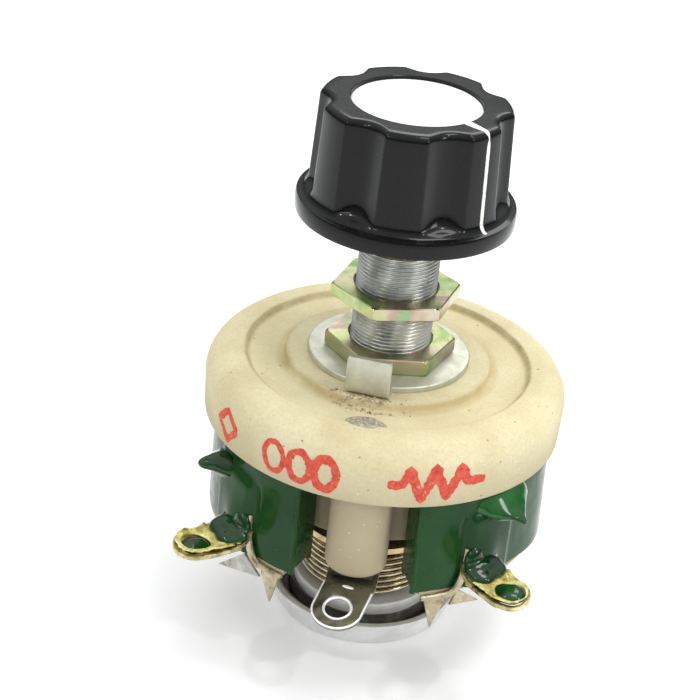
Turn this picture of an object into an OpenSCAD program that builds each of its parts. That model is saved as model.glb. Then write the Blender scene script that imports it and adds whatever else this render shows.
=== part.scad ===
// Panel-mount rotary wirewound rheostat with a fluted control knob.
// Millimetres. The origin is on the shaft axis, on the top face of the clamp nut, where the panel sits.
// +Z runs up the shaft to the knob, -Y points at the centre terminal.
// An azimuth is an angle about Z, measured from -Y towards +X.

/* [Mounting stack] */
// Across flats size of both hexagon nuts
nut_flats = 14; // [13:0.5:15]
// Outside diameter of the bushing thread
thread_d = 10; // [9.5:0.25:10]
// Height of the threaded bushing above the panel seat
bushing_h = 13; // [12.5:0.5:14]
// Thickness of the clamp nut
clamp_nut_h = 2; // [1.8:0.1:2.5]
// Thickness of the loose panel nut
panel_nut_h = 1.7; // [1.5:0.1:2.5]
// Height of the panel nut above the panel seat
panel_nut_z = 5.3; // [3:0.1:6]

/* [Ceramic base] */
// Outside diameter of the ceramic disc
disc_d = 45; // [44:0.5:46]
// Height of the disc at its rim
disc_h = 8.2; // [8:0.1:9]
// Diameter of the raised hub on top of the disc
hub_d = 25.6; // [24:0.2:26]
// Diameter of the shallow recess in the top of the disc
recess_d = 35.6; // [35:0.2:36]
// Outside diameter of the collar hanging inside the winding
collar_d = 29; // [28:0.5:29.5]
// Length of the collar below the disc
collar_h = 10; // [9:0.5:10.5]
// Diameter of the post that carries the centre terminal
post_d = 7.6; // [7:0.1:7.8]
// Length of the post below the disc
post_h = 12; // [11.5:0.5:12.5]
// Distance of the post from the shaft axis
post_r = 16.4; // [16:0.1:16.8]

/* [Winding] */
// Outside diameter of the enamelled ring
ring_d = 42; // [41:0.2:42]
// Inside diameter of the enamelled ring
ring_bore_d = 32; // [31:0.2:32]
// Height of the ring below the disc
ring_h = 14; // [13.5:0.5:14.5]
// Width of the gap in the ring, in degrees
ring_gap = 41; // [40:1:44]

/* [Terminals] */
// Thickness of the terminal strip
strip_t = 0.8; // [0.6:0.1:0.8]
// Width of the solder lugs
lug_w = 6.6; // [6:0.1:7]
// Azimuth of the two end terminals
end_az = 48.5; // [48:0.5:50]
// Diameter of the hole in the centre terminal
centre_hole_d = 3.6; // [3:0.1:3.8]

/* [Rotor] */
// Diameter of the control shaft
shaft_d = 6; // [5.5:0.5:6]
// Mean diameter of the contact spring
spring_d = 16.4; // [16:0.1:16.6]
// Wire diameter of the contact spring
spring_wire = 0.8; // [0.7:0.1:0.9]
// Length of the contact spring
spring_h = 8.1; // [7.8:0.3:9]
// Number of coils in the contact spring
spring_coils = 8; // [7:1:9]
// Rim diameter of the rotor cup
cup_d = 25; // [24:0.5:26]
// Height of the rotor cup
cup_h = 3.6; // [3.4:0.1:4]
// Distance of the contact brush from the shaft axis
brush_r = 18.5; // [18:0.1:18.6]

/* [Knob] */
// Diameter of the knob skirt
skirt_d = 26.6; // [26:0.2:28]
// Diameter of the knob body above the skirt
body_d = 23.9; // [23:0.1:24]
// Height of the knob
knob_h = 14.4; // [14:0.2:16]
// Height of the knob above the panel seat
knob_z = 16.4; // [16:0.2:18]
// Number of finger flutes
flutes = 7; // [6:1:9]
// Azimuth of the pointer line
pointer_az = 52; // [0:1:90]

/* [Hidden] */
$fn = 96;
fine_fn = 48;
cut = 0.01;
shaft_fit = 0.05;

washer_h = 0.8;
hub_top = -clamp_nut_h - washer_h;
disc_top = hub_top - 0.2;
disc_bottom = disc_top - disc_h;
rim_round = 3.4;
recess_floor = disc_top - 0.8;
hub_web = 6.2;
ceiling = hub_top - hub_web;
collar_bottom = disc_bottom - collar_h;
collar_wall = 4.1;
collar_bore_r = collar_d / 2 - collar_wall;
post_bottom = disc_bottom - post_h;
pocket_r = 2.5;
pocket_az_r = post_r + 0.4;
pocket_depth = 1.6;
rivet_r = 1.4;

ring_bottom = disc_bottom - ring_h;
ring_r = ring_d / 2;
ring_bore_r = ring_bore_d / 2;
glaze_t = 0.5;
wire_t = 0.3;
groove_h = 1;
groove_side = 0.4;
end_glaze_deg = 1.6;

flange_r = thread_d / 2 + 3;
flange_h = 2;
mica_t = 0.5;
boss_h = 2;
flange_top = ceiling - mica_t;
bushing_bottom = flange_top - flange_h - boss_h;
washer_r = 10.1;
tab_r = 12.2;
tab_w = 5.4;
tab_top = 2.3;
tab_az = -6;

collector_t = 0.8;
collector_r = 12;
collector_bore_r = 9.2;
terminal_start_r = 13;
terminal_bend_r = 19.6;
terminal_slope = 15;
terminal_end_r = 27.2;
terminal_hole_r = 24;
terminal_yaw = -13;

clip_t = 0.8;
clip_top = bushing_bottom - 0.15;
arm_t = 0.8;
arm_top = ring_bottom - 0.4;
arm_bottom = arm_top - arm_t;
arm_step = 1.2;
arm_w = 5;
arm_az = 180;
spring_r = spring_d / 2;
spring_bottom = arm_bottom - spring_h;
spring_guide_r = spring_r - spring_wire / 2 - 0.5;
seat_t = 1.5;
seat_r = 9.2;
seat_bottom = spring_bottom - seat_t;
cup_r = cup_d / 2;
cup_t = 0.8;
cup_top = seat_bottom + 0.4;
cup_bottom = cup_top - cup_h;
cup_floor = seat_bottom - cup_t;
track_gap = 0.05;
brush_rad = 1.9;
brush_wall = 0.5;
brush_bottom = arm_bottom - arm_step - 2.2;
rotor_hub_r = 7.2;
rotor_hub_top = clip_top - clip_t - 0.3;
arm_rivet_r = 0.7;
pickup_r = 1.1;
pickup_az_r = (collector_r + collector_bore_r) / 2;
shaft_bottom = cup_floor - 1.4;

knob_top = knob_z + knob_h;
skirt_h = 2.3;
fillet_h = 1.2;
skirt_r = skirt_d / 2;
body_r = body_d / 2;
body_draft = 0.5;
flute_depth = 1.15;
flute_w = 5;
flute_cut_r = (flute_w * flute_w / 4 + flute_depth * flute_depth) / (2 * flute_depth);
flute_bottom = knob_z + skirt_h + fillet_h + 0.3;
cap_r = 8.1;
cap_t = 0.6;
cap_sink = 0.3;
knob_round = 0.9;
pointer_w = 1.2;
pointer_t = 0.5;
pointer_gap = 0.2;
insert_r = 5;
insert_h = 11;
screw_r = 1.5;
screw_z = knob_z + 5.4;
screw_az = pointer_az + 180;
shaft_top = knob_z + insert_h;

lug_t = 1.5 * strip_t;
lug_az = end_az - 5.5;
lug_z = disc_bottom - 11.6;
lug_end_r = 31;
end_hole_at = 28;
end_hole_r = 1.8;
seam = 0.05;
prong_az = 32.5;
prong_r = 20;
prong_bottom = disc_bottom - 19.4;

cream = [0.93, 0.89, 0.80];
grey = [0.55, 0.54, 0.52];
green = [0.04, 0.20, 0.14];
brass = [0.62, 0.56, 0.30];
steel = [0.72, 0.73, 0.74];
yellow = [0.78, 0.74, 0.48];
black = [0.05, 0.05, 0.05];
white = [0.90, 0.90, 0.88];
copper = [0.48, 0.40, 0.34];

// Puts its children on the given azimuth and radius, their -Y facing outwards.
module on_azimuth(az, r = 0) {
    rotate([0, 0, az])
        translate([0, -r, 0])
            children();
}

// A flat ring or disc between two heights.
module ring(r, bore, bottom, top) {
    difference() {
        translate([0, 0, bottom])
            cylinder(r = r, h = top - bottom);
        if (bore > 0)
            translate([0, 0, bottom - cut])
                cylinder(r = bore, h = top - bottom + 2 * cut);
    }
}

// A rectangular section swept about Z between two azimuths.
module sector(inner, outer, bottom, top, from_az, to_az) {
    rotate([0, 0, from_az - 90])
        rotate_extrude(angle = to_az - from_az)
            translate([inner, bottom])
                square([outer - inner, top - bottom]);
}

// A hexagon nut with a round bore, its corners starting on the given azimuth.
module hex_nut(bottom, h, bore, corner_az) {
    difference() {
        rotate([0, 0, corner_az - 90])
            translate([0, 0, bottom])
                cylinder(r = nut_flats / 2 / cos(30), h = h, $fn = 6);
        translate([0, 0, bottom - cut])
            cylinder(r = bore, h = h + 2 * cut);
    }
}

// A flat strip leading outwards from inner to a round end at outer, its underside at z.
module strip(inner, outer, w, z, t) {
    translate([-w / 2, -outer + w / 2, z])
        cube([w, outer - inner - w / 2, t]);
    translate([0, -outer + w / 2, z])
        cylinder(r = w / 2, h = t, $fn = fine_fn);
}

// Points on a quarter circle about c, from angle a to angle b.
function arc_points(c, r, a, b, steps = 8) =
    [for (i = [0 : steps]) let (t = a + (b - a) * i / steps) [c[0] + r * cos(t), c[1] + r * sin(t)]];

module disc_profile() {
    rim_r = disc_d / 2;
    polygon(concat(
        [[thread_d / 2 + 0.1, ceiling], [thread_d / 2 + 0.1, hub_top], [hub_d / 2 - 0.3, hub_top],
            [hub_d / 2, hub_top - 0.3], [hub_d / 2, recess_floor], [recess_d / 2 - 0.5, recess_floor],
            [recess_d / 2, disc_top]],
        arc_points([rim_r - rim_round, disc_top - rim_round], rim_round, 90, 0),
        [[rim_r - 0.2, disc_bottom], [ring_r + groove_side, disc_bottom],
            [ring_r + groove_side, disc_bottom + groove_h],
            [ring_bore_r - groove_side, disc_bottom + groove_h],
            [ring_bore_r - groove_side, disc_bottom], [collar_d / 2, disc_bottom],
            [collar_d / 2, collar_bottom + 0.5], [collar_d / 2 - 0.5, collar_bottom],
            [collar_bore_r, collar_bottom], [collar_bore_r, ceiling]]
    ));
}

module base_disc() {
    color(cream)
        difference() {
            union() {
                rotate_extrude()
                    disc_profile();
                on_azimuth(0, post_r)
                    translate([0, 0, post_bottom])
                        cylinder(d = post_d, h = recess_floor - post_bottom - 2, $fn = fine_fn);
            }
            on_azimuth(0, pocket_az_r)
                translate([0, 0, recess_floor - pocket_depth])
                    cylinder(r = pocket_r, h = pocket_depth + 1, $fn = fine_fn);
            on_azimuth(0, post_r)
                translate([0, 0, post_bottom - cut])
                    cylinder(r = rivet_r + 0.1, h = post_h + disc_h, $fn = fine_fn);
        }
}

module winding_core() {
    color(cream)
        sector(ring_bore_r + glaze_t + wire_t, ring_r - glaze_t - wire_t, ring_bottom + wire_t,
            disc_bottom - wire_t, ring_gap / 2 + end_glaze_deg, 360 - ring_gap / 2 - end_glaze_deg);
}

module resistance_winding() {
    from_az = ring_gap / 2 + end_glaze_deg;
    inner = ring_bore_r + glaze_t;
    outer = ring_r - glaze_t;
    color(copper)
        difference() {
            sector(inner, outer, ring_bottom, disc_bottom, from_az, 360 - from_az);
            sector(inner + wire_t, outer - wire_t, ring_bottom + wire_t, disc_bottom - wire_t,
                from_az - 1, 361 - from_az);
        }
}

// The enamel covers both walls and both ends of the ring and leaves the lower edge bare.
module enamel_coat() {
    from_az = ring_gap / 2;
    bare = 0.5;
    color(green) {
        difference() {
            sector(ring_bore_r, ring_r, ring_bottom + bare, disc_bottom, from_az, 360 - from_az);
            sector(ring_bore_r + glaze_t, ring_r - glaze_t, ring_bottom, disc_bottom + cut,
                from_az + end_glaze_deg, 360 - from_az - end_glaze_deg);
        }
    }
}

module ring_cement() {
    color(cream)
        sector(ring_bore_r - groove_side, ring_r + groove_side, disc_bottom, disc_bottom + groove_h,
            ring_gap / 2 - groove_side, 360 - ring_gap / 2 + groove_side);
}

// A rectangular section swept about Z, the given number of degrees each side of its middle azimuth.
module band(inner, outer, bottom, top, mid_az, half_deg) {
    sector(inner, outer, bottom, top, mid_az - half_deg, mid_az + half_deg);
}

// Strap on the ring's outer wall with an upper nub, a folded solder lug and a stop prong under the ring.
module end_terminal(side) {
    strap_half = 11;
    prong_half = 4;
    nub_r = 24.8;
    foot_top = ring_bottom - track_gap;
    tail_from = prong_az - prong_half;
    tail_to = end_az - strap_half / 2;
    band(ring_r, ring_r + strip_t, ring_bottom + 0.8, disc_bottom - 3, side * end_az, strap_half);
    band(ring_r + seam, ring_r + strip_t - seam, foot_top - strip_t, disc_bottom - 9,
        side * (tail_from + tail_to) / 2, (tail_to - tail_from) / 2);
    band(prong_r - strip_t / 2, ring_r + strip_t / 2, foot_top - strip_t + seam, foot_top, side * prong_az,
        prong_half - 1);
    on_azimuth(side * (end_az + 7.5))
        translate([-1.6, -nub_r, disc_bottom - 4.6])
            cube([3.2, nub_r - ring_r - 0.3, strip_t]);
    difference() {
        on_azimuth(side * lug_az)
            strip(ring_r + 0.3, lug_end_r, lug_w, lug_z, lug_t);
        on_azimuth(side * lug_az, end_hole_at)
            translate([0, 0, lug_z - cut])
                cylinder(r = end_hole_r, h = lug_t + 2 * cut, $fn = fine_fn);
    }
    on_azimuth(side * prong_az, prong_r)
        prong(foot_top - strip_t / 2);
}

// Tapered tail hanging from the given height, its flat side facing outwards.
module prong(top) {
    half_w = 1.4;
    translate([0, strip_t / 2, 0])
        rotate([90, 0, 0])
            linear_extrude(strip_t)
                polygon([[-half_w, top], [half_w, top], [0.4, prong_bottom], [-0.4, prong_bottom]]);
}

module end_terminal_left() {
    color(brass)
        end_terminal(-1);
}

module end_terminal_right() {
    color(brass)
        end_terminal(1);
}

// Glaze filling the hole of an end lug, with a domed top.
module lug_glaze(side) {
    color(green)
        on_azimuth(side * lug_az, end_hole_at)
            translate([0, 0, lug_z]) {
                cylinder(r = end_hole_r, h = lug_t, $fn = fine_fn);
                translate([0, 0, lug_t])
                    cylinder(r1 = end_hole_r, r2 = 1, h = 0.5, $fn = fine_fn);
            }
}

module lug_glaze_left() {
    lug_glaze(-1);
}

module lug_glaze_right() {
    lug_glaze(1);
}

module centre_terminal() {
    top = post_bottom - collector_t;
    out = terminal_end_r - terminal_bend_r;
    color(steel)
        difference() {
            union() {
                translate([-lug_w / 2 + 0.2, -terminal_bend_r, top - strip_t])
                    cube([lug_w - 0.4, terminal_bend_r - terminal_start_r, strip_t]);
                terminal_blade(top)
                    strip(0, out, lug_w - 0.4, -strip_t, strip_t);
            }
            terminal_blade(top)
                translate([0, -(terminal_hole_r - terminal_bend_r) / cos(terminal_slope), -2 * strip_t])
                    cylinder(d = centre_hole_d, h = 3 * strip_t, $fn = fine_fn);
            on_azimuth(0, post_r)
                translate([0, 0, top - 2 * strip_t])
                    cylinder(r = rivet_r, h = 3 * strip_t, $fn = fine_fn);
        }
}

// Places the sloping, turned outer blade of the centre terminal at its bend.
module terminal_blade(top) {
    translate([0, -terminal_bend_r + 0.2, top])
        rotate([terminal_slope, 0, terminal_yaw])
            children();
}

module centre_rivet() {
    head_t = 0.7;
    bottom = post_bottom - collector_t - strip_t;
    color(steel)
        on_azimuth(0, post_r) {
            translate([0, 0, bottom])
                cylinder(r = rivet_r, h = recess_floor - pocket_depth - bottom, $fn = fine_fn);
            translate([0, 0, bottom - head_t])
                cylinder(r1 = 1.6, r2 = 2.2, h = head_t, $fn = fine_fn);
        }
}

module rivet_cement() {
    color(grey)
        on_azimuth(0, pocket_az_r)
            translate([0, 0, recess_floor - pocket_depth])
                cylinder(r = pocket_r, h = pocket_depth + 0.15, $fn = fine_fn);
}

// Slip ring under the collar, with a tail stepping down and out below the post.
module collector_ring() {
    leg_r = post_r - post_d / 2 - 0.2;
    tail_w = 5;
    tail_end_r = terminal_bend_r - 0.8;
    color(brass)
        difference() {
            union() {
                ring(collector_r, collector_bore_r, collar_bottom - collector_t, collar_bottom);
                translate([-tail_w / 2, -leg_r, post_bottom - collector_t])
                    cube([tail_w, collector_t, collar_bottom - post_bottom + collector_t]);
                translate([-tail_w / 2, -tail_end_r, post_bottom - collector_t])
                    cube([tail_w, tail_end_r - leg_r + collector_t, collector_t]);
            }
            on_azimuth(0, post_r)
                translate([0, 0, post_bottom - 2 * collector_t])
                    cylinder(r = rivet_r, h = 3 * collector_t, $fn = fine_fn);
        }
}

module mica_washer() {
    color(yellow)
        ring(flange_r, thread_d / 2 + 0.1, flange_top, ceiling);
}

module threaded_bushing() {
    bore_r = shaft_d / 2 + shaft_fit;
    color(steel)
        difference() {
            union() {
                translate([0, 0, bushing_bottom])
                    cylinder(d = thread_d, h = bushing_h - bushing_bottom - 0.5);
                translate([0, 0, bushing_h - 0.5])
                    cylinder(d1 = thread_d, d2 = thread_d - 1, h = 0.5);
                translate([0, 0, flange_top - flange_h])
                    cylinder(r = flange_r, h = flange_h);
            }
            translate([0, 0, bushing_bottom - 1])
                cylinder(r = bore_r, h = bushing_h - bushing_bottom + 2);
        }
}

// Washer with one locating tab bent upwards.
module locating_washer() {
    color(steel)
        difference() {
            union() {
                translate([0, 0, hub_top])
                    cylinder(r = washer_r, h = washer_h);
                rotate([0, 0, tab_az])
                    translate([-tab_w / 2, -tab_r, hub_top]) {
                        cube([tab_w, tab_r - washer_r + 1, washer_h]);
                        cube([tab_w, washer_h, tab_top - hub_top]);
                    }
            }
            translate([0, 0, hub_top - cut])
                cylinder(d = thread_d, h = washer_h + 2 * cut);
        }
}

module clamp_nut() {
    color(yellow)
        hex_nut(-clamp_nut_h, clamp_nut_h, thread_d / 2, 40);
}

module panel_nut() {
    color(yellow)
        hex_nut(panel_nut_z, panel_nut_h, thread_d / 2 + shaft_fit, -13);
}

module shaft() {
    color(steel)
        difference() {
            translate([0, 0, shaft_bottom])
                cylinder(d = shaft_d, h = shaft_top - shaft_bottom);
            ring(shaft_d, shaft_d / 2 - 0.5, clip_top - clip_t, clip_top);
            ring(shaft_d, shaft_d / 2 - 0.5, cup_floor - clip_t, cup_floor);
        }
}

// Open retaining clip in a groove of the shaft, its top face at the given height.
module retaining_clip(top) {
    difference() {
        ring(5, shaft_d / 2 - 0.5, top - clip_t, top);
        translate([-2, 0, top - clip_t - cut])
            cube([4, 6, clip_t + 2 * cut]);
    }
}

module shaft_clip() {
    color(steel)
        retaining_clip(clip_top);
}

module cup_clip() {
    color(steel)
        retaining_clip(cup_floor);
}

// Insulating hub that carries the contact arm and centres the spring.
module rotor_hub() {
    color(cream) {
        ring(rotor_hub_r, shaft_d / 2, arm_top, rotor_hub_top);
        ring(spring_guide_r - 1, shaft_d / 2, seat_bottom + seat_t, arm_top);
    }
}

// Flat ring on the hub with one arm that steps down to the brush.
module contact_arm() {
    hub_plate_r = 9.8;
    low_top = arm_bottom - arm_step + arm_t;
    step_r = 13.2;
    color(brass)
        difference() {
            union() {
                ring(hub_plate_r, spring_guide_r - 1, arm_bottom, arm_top);
                on_azimuth(arm_az) {
                    translate([-arm_w / 2, -step_r, arm_bottom])
                        cube([arm_w, step_r - 8.6, arm_t]);
                    translate([-arm_w / 2, -step_r, low_top - arm_t])
                        cube([arm_w, arm_t, arm_top - low_top + arm_t]);
                    strip(step_r - arm_t, brush_r + arm_w / 2, arm_w, low_top - arm_t, arm_t);
                }
            }
            on_azimuth(arm_az, brush_r)
                translate([0, 0, low_top - 2 * arm_t])
                    cylinder(r = brush_rad, h = 3 * arm_t, $fn = fine_fn);
            on_azimuth(arm_az, pickup_az_r)
                translate([0, 0, arm_bottom - arm_t])
                    cylinder(r = arm_rivet_r, h = 3 * arm_t, $fn = fine_fn);
        }
}

module brush_holder() {
    top = arm_bottom - arm_step;
    color(brass)
        on_azimuth(arm_az, brush_r)
            difference() {
                translate([0, 0, brush_bottom - brush_wall])
                    cylinder(r = brush_rad + brush_wall, h = top - brush_bottom + brush_wall, $fn = fine_fn);
                translate([0, 0, brush_bottom])
                    cylinder(r = brush_rad, h = top - brush_bottom + 1, $fn = fine_fn);
            }
}

module contact_brush() {
    color(black)
        on_azimuth(arm_az, brush_r)
            translate([0, 0, brush_bottom])
                cylinder(r = brush_rad, h = ring_bottom - track_gap - brush_bottom, $fn = fine_fn);
}

// Pick-up contact standing on the arm and rubbing on the slip ring.
module collector_brush() {
    color(black)
        on_azimuth(arm_az, pickup_az_r)
            translate([0, 0, arm_top])
                cylinder(r = pickup_r, h = collar_bottom - collector_t - track_gap - arm_top, $fn = fine_fn);
}

module arm_rivet() {
    color(brass)
        on_azimuth(arm_az, pickup_az_r) {
            translate([0, 0, arm_bottom])
                cylinder(r = arm_rivet_r, h = arm_t, $fn = fine_fn);
            translate([0, 0, arm_bottom - 0.5])
                cylinder(r = arm_rivet_r + 0.4, h = 0.5, $fn = fine_fn);
        }
}

// One helical spring as a closed tube along a computed helix.
module contact_spring() {
    sides = 8;
    per_coil = 30;
    steps = spring_coils * per_coil;
    wire_r = spring_wire / 2;
    rise = spring_h - spring_wire;
    points = [for (i = [0 : steps], k = [0 : sides - 1])
        let (a = 360 * i / per_coil, b = 360 * k / sides, r = spring_r + wire_r * cos(b))
        [r * cos(a), r * sin(a), spring_bottom + wire_r + rise * i / steps + wire_r * sin(b)]];
    walls = [for (i = [0 : steps - 1], k = [0 : sides - 1])
        let (a = i * sides + k, b = i * sides + (k + 1) % sides)
        [a, a + sides, b + sides, b]];
    first = [for (k = [0 : sides - 1]) k];
    last = [for (k = [sides - 1 : -1 : 0]) steps * sides + k];
    color(steel)
        polyhedron(points, concat(walls, [first, last]));
}

module spring_seat() {
    color(white)
        ring(seat_r, shaft_d / 2, seat_bottom, spring_bottom);
}

// Pressed dish with a raised floor under the spring seat and a rolled foot.
module rotor_cup() {
    foot_in = 10.4;
    foot_out = 11.1;
    color(white)
        rotate_extrude()
            polygon([[shaft_d / 2, seat_bottom], [seat_r, seat_bottom], [seat_r + 0.6, cup_bottom + cup_t],
                [foot_out - 0.3, cup_bottom + cup_t], [cup_r - cup_t - 0.1, cup_top - 0.6],
                [cup_r - cup_t, cup_top], [cup_r, cup_top], [cup_r - 0.1, cup_top - 0.9],
                [foot_out + 0.5, cup_bottom + 0.4],
                [foot_out, cup_bottom], [foot_in, cup_bottom], [seat_r - 0.2, cup_bottom + 0.3],
                [seat_r - 0.8, cup_floor], [shaft_d / 2, cup_floor]]);
}

module knob_profile() {
    step_z = knob_z + skirt_h;
    top_r = body_r - body_draft;
    polygon(concat(
        [[insert_r, knob_z + 0.6], [skirt_r - 2.2, knob_z + 0.6], [skirt_r - 2, knob_z],
            [skirt_r - 0.3, knob_z], [skirt_r, knob_z + 0.3], [skirt_r, step_z - 0.3],
            [skirt_r - 0.3, step_z]],
        arc_points([skirt_r, step_z + fillet_h], fillet_h, 250, 180, 6),
        [[body_r, step_z + fillet_h]],
        arc_points([top_r - knob_round, knob_top - knob_round], knob_round, 0, 90, 6),
        [[cap_r, knob_top], [cap_r, knob_top - cap_sink - cap_t], [0, knob_top - cap_sink - cap_t],
            [0, knob_z + insert_h], [insert_r, knob_z + insert_h]]
    ));
}

module knob_body() {
    color(black)
        difference() {
            rotate_extrude()
                knob_profile();
            for (i = [0 : flutes - 1])
                on_azimuth(pointer_az + (i + 0.5) * 360 / flutes, body_r - flute_depth + flute_cut_r)
                    translate([0, 0, flute_bottom])
                        cylinder(r = flute_cut_r, h = knob_h);
            screw_hole(screw_r);
            pointer_slot();
        }
}

// The radial hole of the set screw, from the insert out through the knob wall.
module screw_hole(r) {
    on_azimuth(screw_az)
        translate([0, -shaft_d / 2, screw_z])
            rotate([90, 0, 0])
                cylinder(r = r, h = skirt_r, $fn = fine_fn);
}

// Outline of the knob body above its skirt, without the flutes.
module body_profile() {
    top_r = body_r - body_draft;
    polygon(concat(
        [[0, knob_z + skirt_h + fillet_h], [body_r, knob_z + skirt_h + fillet_h]],
        arc_points([top_r - knob_round, knob_top - knob_round], knob_round, 0, 90, 6),
        [[0, knob_top]]
    ));
}

// Slot for the pointer line, up the side of its lobe and across the top almost to the cap.
module pointer_slot() {
    core_r = body_r - body_draft - pointer_t;
    on_azimuth(pointer_az)
        difference() {
            translate([-pointer_w / 2, -body_r - 1, flute_bottom])
                cube([pointer_w, body_r + 1 - cap_r - pointer_gap, knob_h]);
            translate([0, 0, flute_bottom - 1])
                cylinder(r = core_r, h = knob_top - pointer_t - flute_bottom + 1);
        }
}

module knob_pointer() {
    color(white)
        intersection() {
            pointer_slot();
            rotate_extrude()
                body_profile();
        }
}

module knob_cap() {
    color(white)
        ring(cap_r, 0, knob_top - cap_sink - cap_t, knob_top - cap_sink);
}

module knob_insert() {
    color(brass)
        difference() {
            ring(insert_r, shaft_d / 2, knob_z + 0.2, knob_z + insert_h);
            screw_hole(screw_r);
        }
}

module knob_set_screw() {
    slot_w = 0.6;
    length = 6.5;
    color(steel)
        on_azimuth(screw_az)
            translate([0, -shaft_d / 2, screw_z])
                rotate([90, 0, 0])
                    difference() {
                        cylinder(r = screw_r, h = length, $fn = fine_fn);
                        translate([-slot_w / 2, -screw_r - 1, length - 0.8])
                            cube([slot_w, 2 * screw_r + 2, 1]);
                    }
}

base_disc();
winding_core();
resistance_winding();
enamel_coat();
ring_cement();
end_terminal_left();
end_terminal_right();
lug_glaze_left();
lug_glaze_right();
centre_terminal();
centre_rivet();
rivet_cement();
collector_ring();
mica_washer();
threaded_bushing();
locating_washer();
clamp_nut();
panel_nut();
shaft();
shaft_clip();
rotor_hub();
contact_arm();
brush_holder();
contact_brush();
collector_brush();
arm_rivet();
contact_spring();
spring_seat();
rotor_cup();
cup_clip();
knob_body();
knob_cap();
knob_pointer();
knob_insert();
knob_set_screw();
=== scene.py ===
"""Looks of the rotary wirewound rheostat. Lengths are in millimetres until a mesh is made, then in metres.

An azimuth is an angle about Z in degrees, measured from the front (-Y) towards +X, as in the CAD source.
"""
import math
import random

import bmesh
import bpy
import numpy as np
from mathutils import Matrix, Vector, noise


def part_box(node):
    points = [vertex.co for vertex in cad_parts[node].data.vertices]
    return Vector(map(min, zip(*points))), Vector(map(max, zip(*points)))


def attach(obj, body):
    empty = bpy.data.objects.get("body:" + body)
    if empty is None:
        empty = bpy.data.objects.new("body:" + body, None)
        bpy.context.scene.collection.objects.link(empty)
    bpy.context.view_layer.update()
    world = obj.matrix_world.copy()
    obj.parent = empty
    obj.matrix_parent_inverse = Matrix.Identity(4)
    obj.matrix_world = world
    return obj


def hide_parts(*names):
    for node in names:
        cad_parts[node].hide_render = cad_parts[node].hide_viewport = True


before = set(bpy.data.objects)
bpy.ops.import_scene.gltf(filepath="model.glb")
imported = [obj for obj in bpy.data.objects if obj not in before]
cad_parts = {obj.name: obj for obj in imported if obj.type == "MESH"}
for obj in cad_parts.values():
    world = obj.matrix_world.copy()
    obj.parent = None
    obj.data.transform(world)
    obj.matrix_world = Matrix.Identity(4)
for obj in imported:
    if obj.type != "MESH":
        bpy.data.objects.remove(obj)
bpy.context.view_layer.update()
MM = 0.001


def low(node):
    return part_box(node)[0] / MM


def high(node):
    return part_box(node)[1] / MM


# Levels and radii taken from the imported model.
HUB_TOP = high("base_disc").z
DISC_R = high("base_disc").x
DISC_BOTTOM = high("enamel_coat").z
POST_BOTTOM = low("base_disc").z
RING_R = high("enamel_coat").x
RING_BOTTOM = low("resistance_winding").z
THREAD_R = 5.0
BUSHING_TOP = high("threaded_bushing").z
WASHER_TOP = low("clamp_nut").z
TAB_TOP = high("locating_washer").z
FLANGE_TOP = low("mica_washer").z
KNOB_BOTTOM = low("knob_body").z
KNOB_TOP = high("knob_body").z
SKIRT_R = high("knob_body").x
CAP_TOP = high("knob_cap").z
SPRING_TOP = high("contact_spring").z
SPRING_BOTTOM = low("contact_spring").z
SEAT_BOTTOM = low("spring_seat").z
SEAT_R = high("spring_seat").x
CUP_R = high("rotor_cup").x
CUP_TOP = high("rotor_cup").z
CUP_BOTTOM = low("rotor_cup").z
COLLAR_BOTTOM = high("collector_ring").z

# Details of the design that no box gives. The cap is drawn 0.3 mm smaller in radius than its solid.
CAP_R = high("knob_cap").x - 0.3
KNOB_STEP = KNOB_BOTTOM + 2.3
KNOB_FILLET = 1.2
KNOB_EDGE = 0.85
BODY_LOW_R = 11.95
BODY_HIGH_R = 11.45
WEB = HUB_TOP - 6.2
RIM_TOP = HUB_TOP - 0.2
RECESS_FLOOR = RIM_TOP - 0.8
RING_BORE_R = 16.0
RING_GAP = 41.0
COLLAR_R = 14.5
COLLAR_BORE_R = 10.4
HUB_R = 12.8
RECESS_R = 17.8
RIM_ROUND = 3.4
POST_R = 3.8
POST_AT = 16.4
END_AZ = 48.5
LUG_AZ = 43.0
LUG_Z = DISC_BOTTOM - 11.0
LUG_HOLE_AT = 28.0
PRONG_AZ = 30.5
NUT_FLATS = 14.0
TAB_FRONT = 12.2
TAB_WIDTH = 5.4
TAB_AZ = -6.0
POINTER_AZ = 52.0
KNOB_LOBES = 7


# ---------------------------------------------------------------- mesh helpers

def polar(r, az, z):
    a = math.radians(az)
    return (r * math.sin(a), -r * math.cos(a), z)


def level_ring(r, z, azimuths):
    """One row of points at a radius and a height."""
    return [polar(r, az, z) for az in azimuths]


def turned(x, y, az):
    """The point (x, y) turned about the origin by an angle in degrees."""
    a = math.radians(az)
    c, s = math.cos(a), math.sin(a)
    return x * c - y * s, x * s + y * c


def direction(lat, lon):
    """The unit vector at the angle lat from the Z axis and the angle lon about it."""
    return math.sin(lat) * math.cos(lon), math.sin(lat) * math.sin(lon), math.cos(lat)


def normals(path):
    """The unit normal at each point of a flat path, to the left of its direction."""
    out = []
    for i in range(len(path)):
        a, b = path[max(i - 1, 0)], path[min(i + 1, len(path) - 1)]
        length = math.hypot(b[0] - a[0], b[1] - a[1]) or 1
        out.append((-(b[1] - a[1]) / length, (b[0] - a[0]) / length))
    return out


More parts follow.
